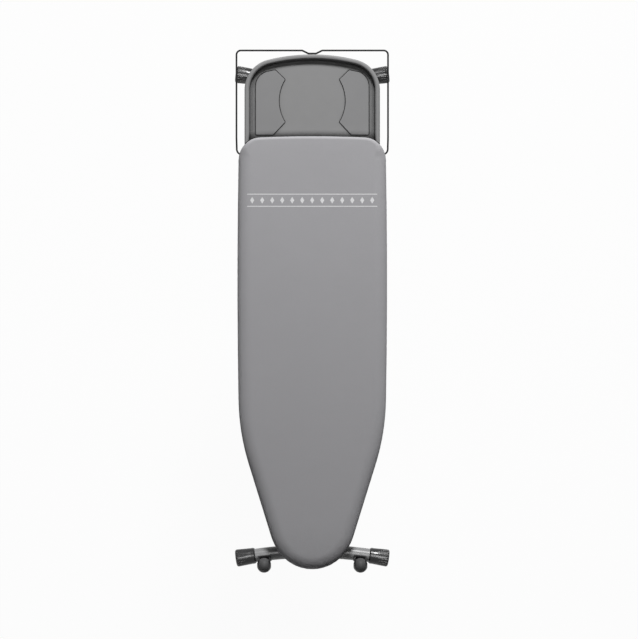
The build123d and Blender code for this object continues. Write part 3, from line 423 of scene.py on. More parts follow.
def moulded(name, colour, roughness, specular, grain, depth, spread, corners=0.0):
    """Moulded plastic or rubber: a fine grain, uneven gloss, light scuffs and, where corners is set, painted
    shade in its corners.
    """
    finish, tree, shader = finish_start(name, roughness, specular=specular)
    base = drift(tree, noise(tree, *MOULD_CLOUD), colour, 1.0 - spread, 1.0 + spread)
    scuff = fit(tree, noise(tree, *MOULD_SCUFF), *MOULD_SCUFF_FIT)
    base = mixed(tree, scuff, base, shade(colour, 1.0 + MOULD_SCUFF_LIFT * spread))
    # Painted shade: the colour darkens where ambient occlusion finds corners and grooves.
    if corners:
        base = paint_corner_shade(tree, base, colour, corners)
    tree.links.new(base, shader.inputs["Base Color"])
    gloss = noise(tree, *MOULD_GLOSS)
    uneven_gloss(tree, shader, gloss, roughness - MOULD_SMOOTHER, roughness + MOULD_ROUGHER)
    fine = (noise(tree, grain, GRAIN_DETAIL), depth, GRAIN_STRENGTH)
    specks = (noise(tree, *MOULD_SPECK), depth * MOULD_SPECK_SHARE, MOULD_SPECK_STRENGTH)
    raise_by(tree, shader, [fine, specks])
    return finish


COAT_CLOUD = (9.0,)
COAT_CLOUD_SHADES = (0.93, 1.07)
COAT_RUB = (38.0, 7.0, 0.72)
COAT_RUB_FIT = (0.64, 0.74, 0.0, 0.4)
COAT_RUB_SHADE = 1.45
COAT_GLOSS = (60.0, 4.0)
COAT_SMOOTHER, COAT_ROUGHER = 0.06, 0.08
COAT_PEEL = (750.0, 2.0)
COAT_PEEL_RISE = (0.00007, 0.5)
COAT_GRAIN = (2400.0, 1.0)
COAT_GRAIN_RISE = (0.00003, 0.4)


def powder_coat(name, colour, roughness, specular):
    """Powder coat: orange peel, uneven gloss and rubbed places."""
    finish, tree, shader = finish_start(name, roughness, specular=specular)
    base = drift(tree, noise(tree, *COAT_CLOUD), colour, *COAT_CLOUD_SHADES)
    rub = fit(tree, noise(tree, *COAT_RUB), *COAT_RUB_FIT)
    base = mixed(tree, rub, base, shade(colour, COAT_RUB_SHADE))
    tree.links.new(base, shader.inputs["Base Color"])
    gloss = noise(tree, *COAT_GLOSS)
    uneven_gloss(tree, shader, gloss, roughness - COAT_SMOOTHER, roughness + COAT_ROUGHER)
    peel = (noise(tree, *COAT_PEEL), *COAT_PEEL_RISE)
    grain = (noise(tree, *COAT_GRAIN), *COAT_GRAIN_RISE)
    raise_by(tree, shader, [peel, grain])
    return finish


PLATE_SHADES = (0.86, 1.08)
PLATE_GLOSS = (120.0, 5.0)
PLATE_SMOOTHER, PLATE_ROUGHER = 0.08, 0.1
PLATE_GRAIN = (1600.0, 2.0)
PLATE_GRAIN_RISE = (0.00005, 0.4)


def plated(name, colour, roughness, spangle):
    """Plated steel: cloudy patches and a fine grain."""
    finish, tree, shader = finish_start(name, roughness, metallic=1.0)
    cells = put(tree, "ShaderNodeTexVoronoi", {"feature": "SMOOTH_F1"}, Scale=spangle)
    tree.links.new(object_place(tree), cells.inputs["Vector"])
    base = drift(tree, cells.outputs["Distance"], colour, *PLATE_SHADES)
    tree.links.new(base, shader.inputs["Base Color"])
    gloss = noise(tree, *PLATE_GLOSS)
    uneven_gloss(tree, shader, gloss, roughness - PLATE_SMOOTHER, roughness + PLATE_ROUGHER)
    raise_by(tree, shader, [(noise(tree, *PLATE_GRAIN), *PLATE_GRAIN_RISE)])
    return finish


WAVE_UNIT = math.pi / 10
THREAD_WANDER = 0.35
THREAD_DETAIL, THREAD_DETAIL_SCALE = 1.0, 0.6


def threads(tree, pitch, direction):
    """Ridges of threads across one direction."""
    node = put(tree, "ShaderNodeTexWave", {"bands_direction": direction, "wave_profile": "SIN"})
    node.inputs["Scale"].default_value = WAVE_UNIT / pitch
    node.inputs["Distortion"].default_value = THREAD_WANDER
    node.inputs["Detail"].default_value = THREAD_DETAIL
    node.inputs["Detail Scale"].default_value = THREAD_DETAIL_SCALE
    tree.links.new(object_place(tree), node.inputs["Vector"])
    return node.outputs[1]


BAND_Y = 0.312
BAND_HALF = 0.017
BAND_LINE = 0.0011
BAND_PITCH = 0.028
BAND_DIAMOND = 0.0058
BAND_DIAMOND_STRETCH = 0.62
BAND_REACH = 6.5 * BAND_PITCH
BAND_DEPTH = 0.006
BAND_WEAR = (420.0, 4.0, 0.7)
BAND_WEAR_FIT = (0.30, 0.62, 0.45, 0.9)


def printed_band(tree):
    """Factor of the print: a row of small diamonds between two thin lines, on the top only."""
    split = put(tree, "ShaderNodeSeparateXYZ")
    tree.links.new(object_place(tree), split.inputs[0])
    off = maths(tree, "ABSOLUTE", maths(tree, "SUBTRACT", split.outputs["Y"], BAND_Y))
    from_line = maths(tree, "ABSOLUTE", maths(tree, "SUBTRACT", off, BAND_HALF))
    line = maths(tree, "LESS_THAN", from_line, BAND_LINE)
    across = maths(tree, "PINGPONG", split.outputs["X"], BAND_PITCH / 2)
    lean = maths(tree, "MULTIPLY", off, BAND_DIAMOND_STRETCH)
    diamond = maths(tree, "LESS_THAN", maths(tree, "ADD", across, lean), BAND_DIAMOND)
    reach = maths(tree, "LESS_THAN", maths(tree, "ABSOLUTE", split.outputs["X"]), BAND_REACH)
    top = maths(tree, "GREATER_THAN", split.outputs["Z"], COVER_HIGH.z - BAND_DEPTH)
    place = maths(tree, "MULTIPLY", reach, top)
    ink = maths(tree, "MULTIPLY", maths(tree, "MAXIMUM", line, diamond), place)
    return maths(tree, "MULTIPLY", ink, fit(tree, noise(tree, *BAND_WEAR), *BAND_WEAR_FIT))


COTTON_ROUGHNESS, COTTON_SPECULAR = 0.86, 0.08
COTTON_SHEEN, COTTON_SHEEN_ROUGHNESS = 0.04, 0.45
COTTON_CLOUD = (5.0, 3.0)
COTTON_CLOUD_SHADES = (0.965, 1.035)
COTTON_GLOSS = (0.82, 0.93)
COTTON_DENT = (22.0, 2.0)
COTTON_DENT_RISE = (0.0012, 0.25)
WARP_PITCH = 0.0013
WEFT_PITCH = WARP_PITCH * 1.15
WEAVE_FIT = (0.2, 0.8, 0.35, 0.0)
WEAVE_SHADE = 0.72
WEAVE_RISE = (0.00035, 0.55)
SLUB = (260.0, 5.0, 0.7)
SLUB_FIT = (0.35, 0.75, 0.0, 0.5)
SLUB_SHADE = 1.12
SLUB_RISE = (0.0003, 0.3)


def woven_cover(colours):
    """Cotton cover: plain weave, slubs, a soft sheen and the printed band."""
    finish, tree, shader = finish_start("cover_cotton", COTTON_ROUGHNESS, specular=COTTON_SPECULAR)
    shader.inputs["Sheen Weight"].default_value = COTTON_SHEEN
    shader.inputs["Sheen Roughness"].default_value = COTTON_SHEEN_ROUGHNESS
    colour = colours.cover
    weave = maths(tree, "MAXIMUM", threads(tree, WARP_PITCH, "X"), threads(tree, WEFT_PITCH, "Y"))
    slub = noise(tree, *SLUB)
    base = drift(tree, noise(tree, *COTTON_CLOUD), colour, *COTTON_CLOUD_SHADES)
    base = mixed(tree, fit(tree, slub, *SLUB_FIT), base, shade(colour, SLUB_SHADE))
    base = mixed(tree, fit(tree, weave, *WEAVE_FIT), base, shade(colour, WEAVE_SHADE))
    base = mixed(tree, printed_band(tree), base, shade(colours.band, 1.0))
    tree.links.new(base, shader.inputs["Base Color"])
    uneven_gloss(tree, shader, slub, *COTTON_GLOSS)
    dents = (noise(tree, *COTTON_DENT), *COTTON_DENT_RISE)
    raise_by(tree, shader, [dents, (weave, *WEAVE_RISE), (slub, *SLUB_RISE)])
    return finish


FELT_ROUGHNESS, FELT_SPECULAR, FELT_SHEEN = 0.95, 0.1, 0.3
FELT_FIBRES = (650.0, 8.0, 0.75)
FELT_FIBRES_FIT = (0.4, 0.62, 0.0, 0.5)
FELT_FIBRES_SHADE = 0.68
FELT_FIBRES_RISE = (0.0008, 0.7)
FELT_CLOUD = (30.0, 4.0)
FELT_CLOUD_SHADES = (0.9, 1.06)
FELT_TUFTS = (90.0, 4.0)
FELT_TUFTS_RISE = (0.0012, 0.4)


def needled_felt(colour):
    """Felt: matted fibres in two sizes."""
    finish, tree, shader = finish_start("needle_felt", FELT_ROUGHNESS, specular=FELT_SPECULAR)
    shader.inputs["Sheen Weight"].default_value = FELT_SHEEN
    fibres = noise(tree, *FELT_FIBRES)
    base = drift(tree, noise(tree, *FELT_CLOUD), colour, *FELT_CLOUD_SHADES)
    base = mixed(tree, fit(tree, fibres, *FELT_FIBRES_FIT), base, shade(colour, FELT_FIBRES_SHADE))
    tree.links.new(base, shader.inputs["Base Color"])
    raise_by(tree, shader, [(fibres, *FELT_FIBRES_RISE), (noise(tree, *FELT_TUFTS), *FELT_TUFTS_RISE)])
    return finish


BRAID_ROUGHNESS, BRAID_SPECULAR, BRAID_SHEEN = 0.8, 0.25, 0.2
BRAID_SHADES = (0.6, 1.05)
BRAID_RISE = (0.0003, 0.6)
BRAID_FLUFF = (1500.0, 3.0)
BRAID_FLUFF_RISE = (0.0001, 0.3)


def braided(name, colour, pitch):
    """Braided elastic or thread."""
    finish, tree, shader = finish_start(name, BRAID_ROUGHNESS, specular=BRAID_SPECULAR)
    shader.inputs["Sheen Weight"].default_value = BRAID_SHEEN
    ridges = maths(tree, "MAXIMUM", threads(tree, pitch, "DIAGONAL"), threads(tree, pitch, "Y"))
    tree.links.new(drift(tree, ridges, colour, *BRAID_SHADES), shader.inputs["Base Color"])
    raise_by(tree, shader, [(ridges, *BRAID_RISE), (noise(tree, *BRAID_FLUFF), *BRAID_FLUFF_RISE)])
    return finish


def coat(finish, *names):
    """Give CAD nodes a finish."""
    for name in names:
        mesh = NODES[name].data
        mesh.materials.clear()
        mesh.materials.append(finish)


def pair(name):
    """Both sides' nodes of a piece."""
    return [f"{name}_{side}" for side in SIDES]


# Cover and hem
# Lengths are in metres. The section's rings run from the flat top over the roll, down the side, round the
# fold, along the hem and round the elastic's tunnel.

COVER_SIDE = 0.0276
COVER_UNDER = COVER_HIGH.z - COVER_SIDE
FLAT_INSETS = (0.052, 0.045)
ROLL_STEPS = 20
SIDE_SHARES = (1 / 3, 2 / 3)
FOLD_STEPS = 5
HEM_STEPS = 9
HEM_GAP = 0.001
TUNNEL_STEPS = 12
TUNNEL_ARC = 150.0
END_FROM, END_OVER = 0.1, 0.88
TOP_RINGS = 30
SPINE_TIP, SPINE_WIDE = 0.075, 0.13

GATHER_SEED = 11
GATHER_COUNTS = (150, 173, 211, 97)
LOOSE_COUNT, LOOSE_PHASE = 9, 0.7
LOOSE_MIDDLE, LOOSE_SWING = 0.55, 0.45
BEND_SPAN, BEND_FULL = 3, 0.25
NEAR = 0.0005
HEM_FROM, HEM_OVER = 0.002, 0.012
SIDE_DEPTH, SIDE_REACH, SIDE_WAVE = 0.004, 0.014, 0.0007
TUNNEL_REACH, TUNNEL_WAVE = 0.006, 0.0009

COVER_MERGE = 0.0002
COVER_PRESSURE = 1.2
FREE_FROM, FREE_TO = 0.006, 0.015
SOFT_ANGLE = 60


def nose_drop(cloth, y):
    """How far the top bows down towards the tip."""
    reach = np.clip(COVER_LOW.y + cloth.nose_reach - y, 0.0, None)
    return cloth.nose_drop * (reach / cloth.nose_reach) ** 2


def bowed(cloth, points):
    """Heights of the cover's or the felt's points, bowed down towards the tip."""
    return points[:, 2] - nose_drop(cloth, points[:, 1]) * ease((points[:, 2] - COVER_UNDER) / COVER_SIDE)


def cover_section(cloth, normal):
    """The cover's rings from its flat top to the end of its hem: distances in from the edge, and heights."""
    even = np.ones(len(normal))
    top = COVER_HIGH.z
    fold = cloth.fold_round
    blunt = ease((normal[:, 1] - END_FROM) / END_OVER)
    width = cloth.edge_width + (cloth.end_width - cloth.edge_width) * blunt
    height = cloth.edge_height + (cloth.end_height - cloth.edge_height) * blunt
    section = [(even * inset, even * top) for inset in FLAT_INSETS]
    for turn in np.radians(np.linspace(90, 0, ROLL_STEPS)):
        section.append((width * (1 - math.cos(turn)), top - height * (1 - math.sin(turn))))
    side = COVER_UNDER + fold - top + height
    section += [(even * 0.0, top - height + side * share) for share in SIDE_SHARES]
    for turn in np.radians(np.linspace(0, 90, FOLD_STEPS)):
        z = COVER_UNDER + fold * (1 - math.sin(turn))
        section.append((even * fold * (1 - math.cos(turn)), even * z))
    hem_end = cloth.hem - cloth.tunnel
    for inset in np.linspace(fold, hem_end - HEM_GAP, HEM_STEPS)[1:]:
        section.append((even * inset, even * COVER_UNDER))
    for turn in np.radians(np.linspace(-TUNNEL_ARC, TUNNEL_ARC, TUNNEL_STEPS)):
        across = cloth.hem + cloth.tunnel * math.cos(turn)
        section.append((even * across, even * (ELASTIC_Z + cloth.tunnel * math.sin(turn))))
    return section


def gathers(along, normal):
    """Waves of the hem along the edge, from -1 to 1, and their strength, most where the edge bends."""
    turn = along / along[-1] * 2 * math.pi
    draw = np.random.default_rng(GATHER_SEED)
    waves = np.zeros(len(along))
    for count in GATHER_COUNTS:
        waves += np.sin(turn * count + draw.uniform(0, 2 * math.pi))
    waves /= np.abs(waves).max()
    loose = LOOSE_MIDDLE + LOOSE_SWING * np.sin(turn * LOOSE_COUNT + LOOSE_PHASE)
    bend = np.abs(np.cross(np.roll(normal, BEND_SPAN, axis=0), np.roll(normal, -BEND_SPAN, axis=0)))
    return waves, 0.5 * loose + 0.5 * ease(bend / BEND_FULL)


def cover_rings(cloth):
    """Rings of points of the cover from its middle line outwards and under the board."""
    edge, normal, along = board_edge(cloth.step)
    section = cover_section(cloth, normal)
    first = edge - normal * section[0][0][:, None]
    span = COVER_HIGH.y - COVER_LOW.y
    spine_y = np.clip(first[:, 1], COVER_LOW.y + SPINE_TIP * span, COVER_HIGH.y - SPINE_WIDE * span)
    spine = np.stack([np.zeros(len(edge)), spine_y], axis=1)
    rings = []
    for share in np.linspace(0.0, 1.0, TOP_RINGS)[:-1]:
        flat = spine + (first - spine) * share
        rings.append(np.column_stack([flat, section[0][1]]))
    waves, strength = gathers(along, normal)
    tunnel_from = cloth.hem - cloth.tunnel - NEAR
    for inset, z in section:
        in_hem = np.where(z < COVER_UNDER + NEAR, ease((inset - HEM_FROM) / HEM_OVER), 0.0)
        on_side = np.where(inset < SIDE_DEPTH, ease((COVER_UNDER + SIDE_REACH - z) / SIDE_REACH), 0.0)
        scallop = np.where((inset > tunnel_from) & (z < COVER_UNDER + TUNNEL_REACH), 1.0, 0.0)
        shift = inset + waves * strength * (SIDE_WAVE * on_side + TUNNEL_WAVE * scallop)
        lift = -cloth.gather * in_hem * strength * (0.5 + 0.5 * waves) * (1.0 - scallop)
        flat = edge - normal * shift[:, None]
        rings.append(np.column_stack([flat, z + lift]))
    for ring in rings:
        ring[:, 2] = bowed(cloth, ring)
    return rings


class BOARD_OT_cover(bpy.types.Operator):
    """Stretch the cotton cover over the board, with its gathered hem"""

    bl_idname = "ironing.cover"
    bl_label = "Cover"

    def execute(self, context):
        cloth = context.scene.ironing_cloth
        rings = cover_rings(cloth)
        cover = mesh_piece("cover_cloth", np.vstack(rings), ring_faces(rings))
        merge_points(cover, COVER_MERGE)
        self.settle(cover, cloth)
        wall = cover.modifiers.new("Cloth", "SOLIDIFY")
        wall.thickness = cloth.cloth
        wall.offset = -1.0
        apply_all(cover)
        cover.vertex_groups.clear()
        smooth(cover, SOFT_ANGLE)
        cover.data.materials.append(woven_cover(context.scene.ironing_finish))
        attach(cover, BOARD)
        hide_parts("cover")
        return {"FINISHED"}

    def settle(self, cover, cloth):
        """Hold the hem and the taut top, and let the padding lift the cloth along the edge."""
        points = points_of(cover)
        down = COVER_HIGH.z - nose_drop(cloth, points[:, 1]) - points[:, 2]
        hold = np.maximum(1.0 - ease(down / FREE_FROM), ease((down - FREE_TO) / FREE_FROM))
        held = cover.vertex_groups.new(name="held")
        for number, weight in enumerate(hold):
            held.add([number], weight, "REPLACE")
        simulate(cover, cloth.cover_frames, COVER_PRESSURE, cloth.puff, pins=held.name)


ELASTIC_SIDES = 10
ELASTIC_MERGE = 0.0001
ELASTIC_PITCH = 0.0011
STITCH_SIZE = (0.0018, 0.00038, 0.00034)
STITCH_SEGMENTS, STITCH_RINGS = 6, 5
STITCH_FROM_TUNNEL = 0.0028
STITCH_SINK = 0.0001
STITCH_ANGLE = 80
THREAD_PITCH = 0.0006
UP = (0, 0, 1)


class BOARD_OT_hem(bpy.types.Operator):
    """Thread the elastic through the hem's tunnel and stitch the hem"""

    bl_idname = "ironing.hem"
    bl_label = "Hem"

    def execute(self, context):
        cloth = context.scene.ironing_cloth
        colours = context.scene.ironing_finish
        edge, normal, _ = board_edge(cloth.step)
        rings = []
        for turn in np.linspace(0, 2 * math.pi, ELASTIC_SIDES + 1)[:-1]:
            flat = edge - normal * (cloth.hem + ELASTIC_RADIUS * math.cos(turn))
            z = np.full(len(edge), ELASTIC_Z + ELASTIC_RADIUS * math.sin(turn))
            rings.append(np.column_stack([flat, z]))
        rings.append(rings[0])
        elastic = mesh_piece("hem_elastic_braid", np.vstack(rings), ring_faces(rings))
        merge_points(elastic, ELASTIC_MERGE)
        smooth(elastic, SOFT_ANGLE)
        elastic.data.materials.append(braided("braided_elastic", colours.elastic, ELASTIC_PITCH))
        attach(elastic, BOARD)
        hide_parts("hem_elastic")
        self.stitch(edge, normal, cloth, colours)
        return {"FINISHED"}

    def pattern(self):
        """Points and faces of one stitch, lying along X."""
        bpy.ops.object.select_all(action="DESELECT")
        bpy.ops.mesh.primitive_uv_sphere_add(
            segments=STITCH_SEGMENTS, ring_count=STITCH_RINGS, radius=1.0, location=(0, 0, 0)
        )
        stitch = bpy.context.active_object
        bpy.ops.object.mode_set(mode="EDIT")
        bpy.ops.mesh.select_all(action="SELECT")
        bpy.ops.transform.resize(value=STITCH_SIZE)
        bpy.ops.object.mode_set(mode="OBJECT")
        points = points_of(stitch)
        faces = [tuple(p.vertices) for p in stitch.data.polygons]
        bpy.data.objects.remove(stitch)
        return points, faces

    def stitch(self, edge, normal, cloth, colours):
        """Sew a row of stitches along the hem, on the cloth."""
        cover = bpy.data.objects["cover_cloth"]
        row = edge - normal * (cloth.hem - cloth.tunnel - STITCH_FROM_TUNNEL)
        shape, faces = self.pattern()
        points, all_faces = [], []
        for here, out in zip(row, normal):
            hit, spot, _, _ = cover.ray_cast(Vector((here[0], here[1], 0.0)), Vector(UP))
            if not hit:
                continue
            forward = np.array([-out[1], out[0], 0.0])
            across = np.array([out[0], out[1], 0.0])
            placed = shape[:, :1] * forward + shape[:, 1:2] * across + shape[:, 2:] * np.array(UP)
            all_faces += [tuple(i + len(points) * len(shape) for i in face) for face in faces]
            points.append(placed + np.array([spot.x, spot.y, spot.z - STITCH_SINK]))
        stitches = mesh_piece("hem_stitches", np.vstack(points), all_faces)
        smooth(stitches, STITCH_ANGLE)
        stitches.data.materials.append(braided("sewing_thread", colours.band, THREAD_PITCH))
        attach(stitches, BOARD)


# Felt
# Lengths are in metres. The mesh has diamond openings in staggered rows.

MESH_PITCH = (0.034, 0.042)
MESH_HOLE = (0.025, 0.036)
FELT_MERGE = 0.00005
FELT_PRESSURE = 3.0
FELT_RISE = 0.4
FELT_SINK, FELT_SINK_FULL = 0.0011, 0.6
FELT_AIR = 0.0003
FELT_UNDER = 0.0015
FELT_MARGIN, FELT_TIP_MARGIN = 0.03, 0.05


class BOARD_OT_felt(bpy.types.Operator):
    """Lay the felt on the mesh, where it sinks a little into the openings"""

    bl_idname = "ironing.felt"
    bl_label = "Felt pad"

    def execute(self, context):
        cloth = context.scene.ironing_cloth
        only(NODES["felt_pad"])
        bpy.ops.object.duplicate()
        felt = context.active_object
        felt.name = "felt_layer"
        for key in [k for k in felt.keys() if k.startswith("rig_")]:
            del felt[key]
        felt.parent = None
        merge_points(felt, FELT_MERGE)
        points = points_of(felt)
        centre = (points.min(0) + points.max(0)) / 2
        size = points.max(0) - points.min(0)
        shrink = 1.0 - 2 * np.array([cloth.swell, cloth.swell, cloth.swell * FELT_RISE]) / size
        place_points(felt, centre + (points - centre) * shrink)
        grid = felt.modifiers.new("Grid", "REMESH")
        grid.mode = "VOXEL"
        grid.voxel_size = cloth.felt_cell
        apply_all(felt)
        simulate(felt, cloth.felt_frames, FELT_PRESSURE, cloth.swell * FELT_RISE)
        self.bow(felt, cloth)
        self.sink(felt)
        smooth(felt, SOFT_ANGLE)
        felt.data.materials.clear()
        felt.data.materials.append(needled_felt(context.scene.ironing_finish.felt))
        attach(felt, BOARD)
        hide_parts("felt_pad")
        return {"FINISHED"}

    def bow(self, felt, cloth):
        """Bow the felt down towards the tip with the cover over it, but not into the mesh."""
        points = points_of(felt)
        lowered = bowed(cloth, points)
        on_mesh = points[:, 2] > MESH_TOP + FELT_AIR
        floor = np.minimum(points[:, 2], MESH_TOP + 2 * FELT_AIR)
        points[:, 2] = np.where(on_mesh, np.maximum(lowered, floor), lowered)
        place_points(felt, points)

    def sink(self, felt):
        """Let the underside sag into the diamond openings of the mesh."""
        points = points_of(felt)
        x = points[:, 0]
        from_end = COVER_HIGH.y - points[:, 1]
        half_pitch = [pitch / 2 for pitch in MESH_PITCH]
        half_hole = [hole / 2 for hole in MESH_HOLE]
        best = np.zeros(len(points))
        for across in (0, 1):
            for down in (0, 1):
                column = np.floor(x / half_pitch[0]) + across
                row = np.floor(from_end / half_pitch[1]) + down
                away = np.abs(x - column * half_pitch[0]) / half_hole[0]
                away += np.abs(from_end - row * half_pitch[1]) / half_hole[1]
                best = np.maximum(best, np.where((column + row) % 2 == 0, 1.0 - away, 0.0))
        under = np.abs(points[:, 2] - MESH_TOP - FELT_AIR) < FELT_UNDER
        under &= np.abs(x) < COVER_HIGH.x - FELT_MARGIN
        under &= points[:, 1] < COVER_HIGH.y - FELT_MARGIN
        under &= points[:, 1] > COVER_LOW.y + FELT_TIP_MARGIN
        points[:, 2] -= np.where(under, ease(best / FELT_SINK_FULL) * FELT_SINK, 0.0)
        place_points(felt, points)


# Frame, tray, legs and lock


class BOARD_OT_frame(bpy.types.Operator):
    """Coat the mesh, frame, rails and brackets"""

    bl_idname = "ironing.frame"
    bl_label = "Frame"

    def execute(self, context):
        colours = context.scene.ironing_finish
        coat(plated("mesh_zinc", colours.mesh, roughness=0.5, spangle=55.0), "mesh_top")
        members = [f"cross_member_{number}" for number in range(1, 6)]
        paint = powder_coat("frame_coat", colours.frame, roughness=0.46, specular=0.45)
        coat(paint, "perimeter_frame", "clamp_housing", "arm_spacers", *members)
        coat(paint, *pair("slide_rail"), *pair("pivot_bracket"), *pair("tray_arm"))
        return {"FINISHED"}


class BOARD_OT_tray(bpy.types.Operator):
    """Finish the tray, its pads and the hanger rail"""

    bl_idname = "ironing.tray"
    bl_label = "Tray"

    def execute(self, context):
        colours = context.scene.ironing_finish
        # The tray gets painted shade in its grooves, by its walls and next to the cover.
        tray = moulded(
            "tray_plastic",
            colours.tray,
            roughness=0.52,
            specular=0.15,
            grain=1300.0,
            depth=0.00012,
            spread=0.03,
            corners=CORNER_SHADE_REACH,
        )
        coat(tray, "tray_shell")
        # The pads get painted shade along their edges and in the grooves round them.
        pads = moulded(
            "pad_soft",
            colours.pad,
            roughness=0.62,
            specular=0.12,
            grain=1900.0,
            depth=0.00015,
            spread=0.03,
            corners=CORNER_SHADE_REACH,
        )
        coat(pads, *pair("tray_pad"))
        coat(powder_coat("wire_coat", colours.wire, roughness=0.5, specular=0.12), "hanger_rail")
        return {"FINISHED"}


class BOARD_OT_legs(bpy.types.Operator):
    """Coat the legs and finish the feet and the ball rollers"""

    bl_idname = "ironing.legs"
    bl_label = "Legs"

    def execute(self, context):
        colours = context.scene.ironing_finish
        paint = powder_coat("leg_coat", colours.leg, roughness=0.36, specular=0.32)
        coat(paint, *pair("outer_leg_tube"), *pair("inner_leg_tube"), *pair("inner_leg_sleeve"))
        coat(paint, "outer_leg_shaft", "outer_foot_tube", "inner_foot_tube", "inner_leg_brace")
        black = moulded(
            "cap_black",
            colours.black,
            roughness=0.25,
            specular=0.32,
            grain=1500.0,
            depth=0.00003,
            spread=0.12,
        )
        coat(black, *pair("outer_foot_cap"), *pair("inner_foot_cap"), *pair("roller_fork"))
        rubber = moulded(
            "ball_rubber",
            colours.rubber,
            roughness=0.5,
            specular=0.12,
            grain=1100.0,
            depth=0.00014,
            spread=0.25,
        )
        coat(rubber, *pair("ball_roller"), "fold_bumpers")
        return {"FINISHED"}


class BOARD_OT_lock(bpy.types.Operator):
    """Finish the slider, the height lock and the pins"""

    bl_idname = "ironing.lock"
    bl_label = "Height lock"

    def execute(self, context):
        colours = context.scene.ironing_finish
        steel = plated("bright_zinc", colours.steel, roughness=0.3, spangle=260.0)
        coat(steel, "slider_crossbar", "lock_rod", "lock_plate", "clamp_spring", "fulcrum_pin", "tray_screws")
        coat(steel, "roller_axles", *pair("cross_pin"))
        nylon = moulded(
            "white_nylon",
            colours.nylon,
            roughness=0.45,
            specular=0.4,
            grain=800.0,
            depth=0.00008,
            spread=0.05,
        )
        coat(nylon, "rod_block", "cross_spacers", "pivot_bushes", *pair("slider_shoe"))
        black = moulded(
            "grip_black",
            colours.black,
            roughness=0.42,
            specular=0.35,
            grain=1000.0,
            depth=0.00016,
            spread=0.25,
        )
        coat(black, "lever_grip", *pair("rail_block"))
        return {"FINISHED"}


# Stage
# Each lamp has its name, its place, its size and the setting that holds its power.

LAMPS = (
    ("lamp_key", (0.7, 5.0, 3.6), 1.3, "key"),
    ("lamp_gloss", (0.1, 0.1, 3.6), 1.4, "gloss"),
    ("lamp_under", (-0.5, -0.8, -2.6), 2.0, "under"),
    ("lamp_low", (-1.6, -4.4, -0.35), 1.6, "low"),
)
SENSOR_WIDTH = 36.0
FLOOR_SIZE = 40.0
FLOOR_ROUGHNESS = 0.9
FLOOR_COLOUR = (0.5, 0.5, 0.5, 1.0)
FLOOR_GLOW = 0.96
WHITE = (1.0, 1.0, 1.0, 1.0)


def aim(lamp, target):
    """Turn a lamp to a point."""
    lamp.rotation_mode = "QUATERNION"
    lamp.rotation_quaternion = (Vector(target) - lamp.location).to_track_quat("-Z", "Y")


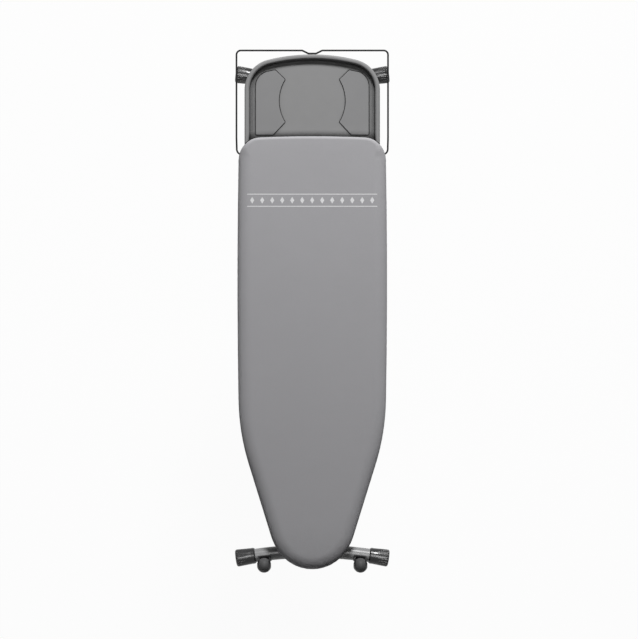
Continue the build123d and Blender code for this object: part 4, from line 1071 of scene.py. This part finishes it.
class BOARD_OT_stage(bpy.types.Operator):
    """Set the camera above the board, the lamps and the pale floor"""

    bl_idname = "ironing.stage"
    bl_label = "Stage"

    def execute(self, context):
        stage = context.scene.ironing_stage
        self.camera(context, stage)
        self.lamps(context, stage)
        self.floor(context, stage)
        self.surroundings(context, stage)
        context.scene.view_settings.view_transform = "Standard"
        return {"FINISHED"}

    def camera(self, context, stage):
        """Camera straight above, the tray at the top of the picture."""
        place = (stage.camera_x, stage.camera_y, stage.camera_z)
        bpy.ops.object.camera_add(location=place, rotation=(0, 0, 0))
        camera = context.active_object
        camera.name = "camera_above"
        camera.data.sensor_fit = "HORIZONTAL"
        camera.data.sensor_width = SENSOR_WIDTH
        camera.data.lens = stage.lens
        context.scene.camera = camera

    def lamps(self, context, stage):
        """A large lamp beyond the tray, one above for the gloss, and two for the underside and the legs."""
        for name, place, size, power in LAMPS:
            bpy.ops.object.light_add(type="AREA", location=place)
            lamp = context.active_object
            lamp.name = name
            lamp.data.shape = "DISK"
            lamp.data.size = size
            lamp.data.energy = getattr(stage, power)
            lamp.visible_diffuse = power != "gloss"
            aim(lamp, (0, 0, CAD_BOX[1].z))

    def floor(self, context, stage):
        """A wide pale floor that keeps the board's shadow and is clear from below."""
        bpy.ops.mesh.primitive_plane_add(size=FLOOR_SIZE, location=(0, 0, stage.floor_z))
        floor = context.active_object
        floor.name = "floor"
        finish, tree, shader = finish_start("floor_pale", FLOOR_ROUGHNESS, specular=0.0)
        shader.inputs["Base Color"].default_value = FLOOR_COLOUR
        glow = put(tree, "ShaderNodeEmission")
        blend = put(tree, "ShaderNodeMixShader")
        tree.links.new(maths(tree, "MULTIPLY", self.seen(tree), FLOOR_GLOW), blend.inputs[0])
        tree.links.new(shader.outputs[0], blend.inputs[1])
        tree.links.new(glow.outputs[0], blend.inputs[2])
        one_sided = put(tree, "ShaderNodeMixShader")
        tree.links.new(put(tree, "ShaderNodeNewGeometry").outputs["Backfacing"], one_sided.inputs[0])
        tree.links.new(blend.outputs[0], one_sided.inputs[1])
        tree.links.new(put(tree, "ShaderNodeBsdfTransparent").outputs[0], one_sided.inputs[2])
        tree.links.new(one_sided.outputs[0], tree.nodes["Material Output"].inputs["Surface"])
        floor.data.materials.append(finish)

    def seen(self, tree):
        """1 for rays from the camera, from gloss and through clear things."""
        path = put(tree, "ShaderNodeLightPath")
        both = maths(tree, "MAXIMUM", path.outputs["Is Camera Ray"], path.outputs["Is Glossy Ray"])
        return maths(tree, "MAXIMUM", both, path.outputs["Is Transmission Ray"])

    def surroundings(self, context, stage):
        """White all round, at a plain level of light."""
        world = bpy.data.worlds.new("white_room")
        context.scene.world = world
        world.use_nodes = True
        tree = world.node_tree
        back = tree.nodes["Background"]
        back.inputs["Color"].default_value = WHITE
        tree.links.new(fit(tree, self.seen(tree), 0.0, 1.0, stage.fill, 1.0), back.inputs["Strength"])


class BOARD_PT_panel(bpy.types.Panel):
    """The board's pieces and settings"""

    bl_idname = "BOARD_PT_panel"
    bl_label = "Ironing board"
    bl_space_type = "VIEW_3D"
    bl_region_type = "UI"
    bl_category = "Ironing board"

    def draw(self, context):
        column = self.layout.column()
        for step in PIECE_STEPS:
            column.operator(step.bl_idname)
        for settings, _ in SETTINGS:
            group = getattr(context.scene, settings)
            for name in group.bl_rna.properties.keys():
                if name not in ("name", "rna_type"):
                    column.prop(group, name)


SETTINGS = (
    ("ironing_cloth", ClothSettings),
    ("ironing_finish", FinishSettings),
    ("ironing_stage", StageSettings),
)
PIECE_STEPS = (
    BOARD_OT_cover,
    BOARD_OT_hem,
    BOARD_OT_felt,
    BOARD_OT_frame,
    BOARD_OT_tray,
    BOARD_OT_legs,
    BOARD_OT_lock,
    BOARD_OT_stage,
)


def register():
    for name, group in SETTINGS:
        bpy.utils.register_class(group)
        setattr(bpy.types.Scene, name, PointerProperty(type=group))
    for step in PIECE_STEPS:
        bpy.utils.register_class(step)
    bpy.utils.register_class(BOARD_PT_panel)


def unregister():
    bpy.utils.unregister_class(BOARD_PT_panel)
    for step in reversed(PIECE_STEPS):
        bpy.utils.unregister_class(step)
    for name, group in reversed(SETTINGS):
        delattr(bpy.types.Scene, name)
        bpy.utils.unregister_class(group)


def main():
    register()
    for step in PIECE_STEPS:
        family, action = step.bl_idname.split(".")
        getattr(getattr(bpy.ops, family), action)()


if __name__ == "__main__":
    main()
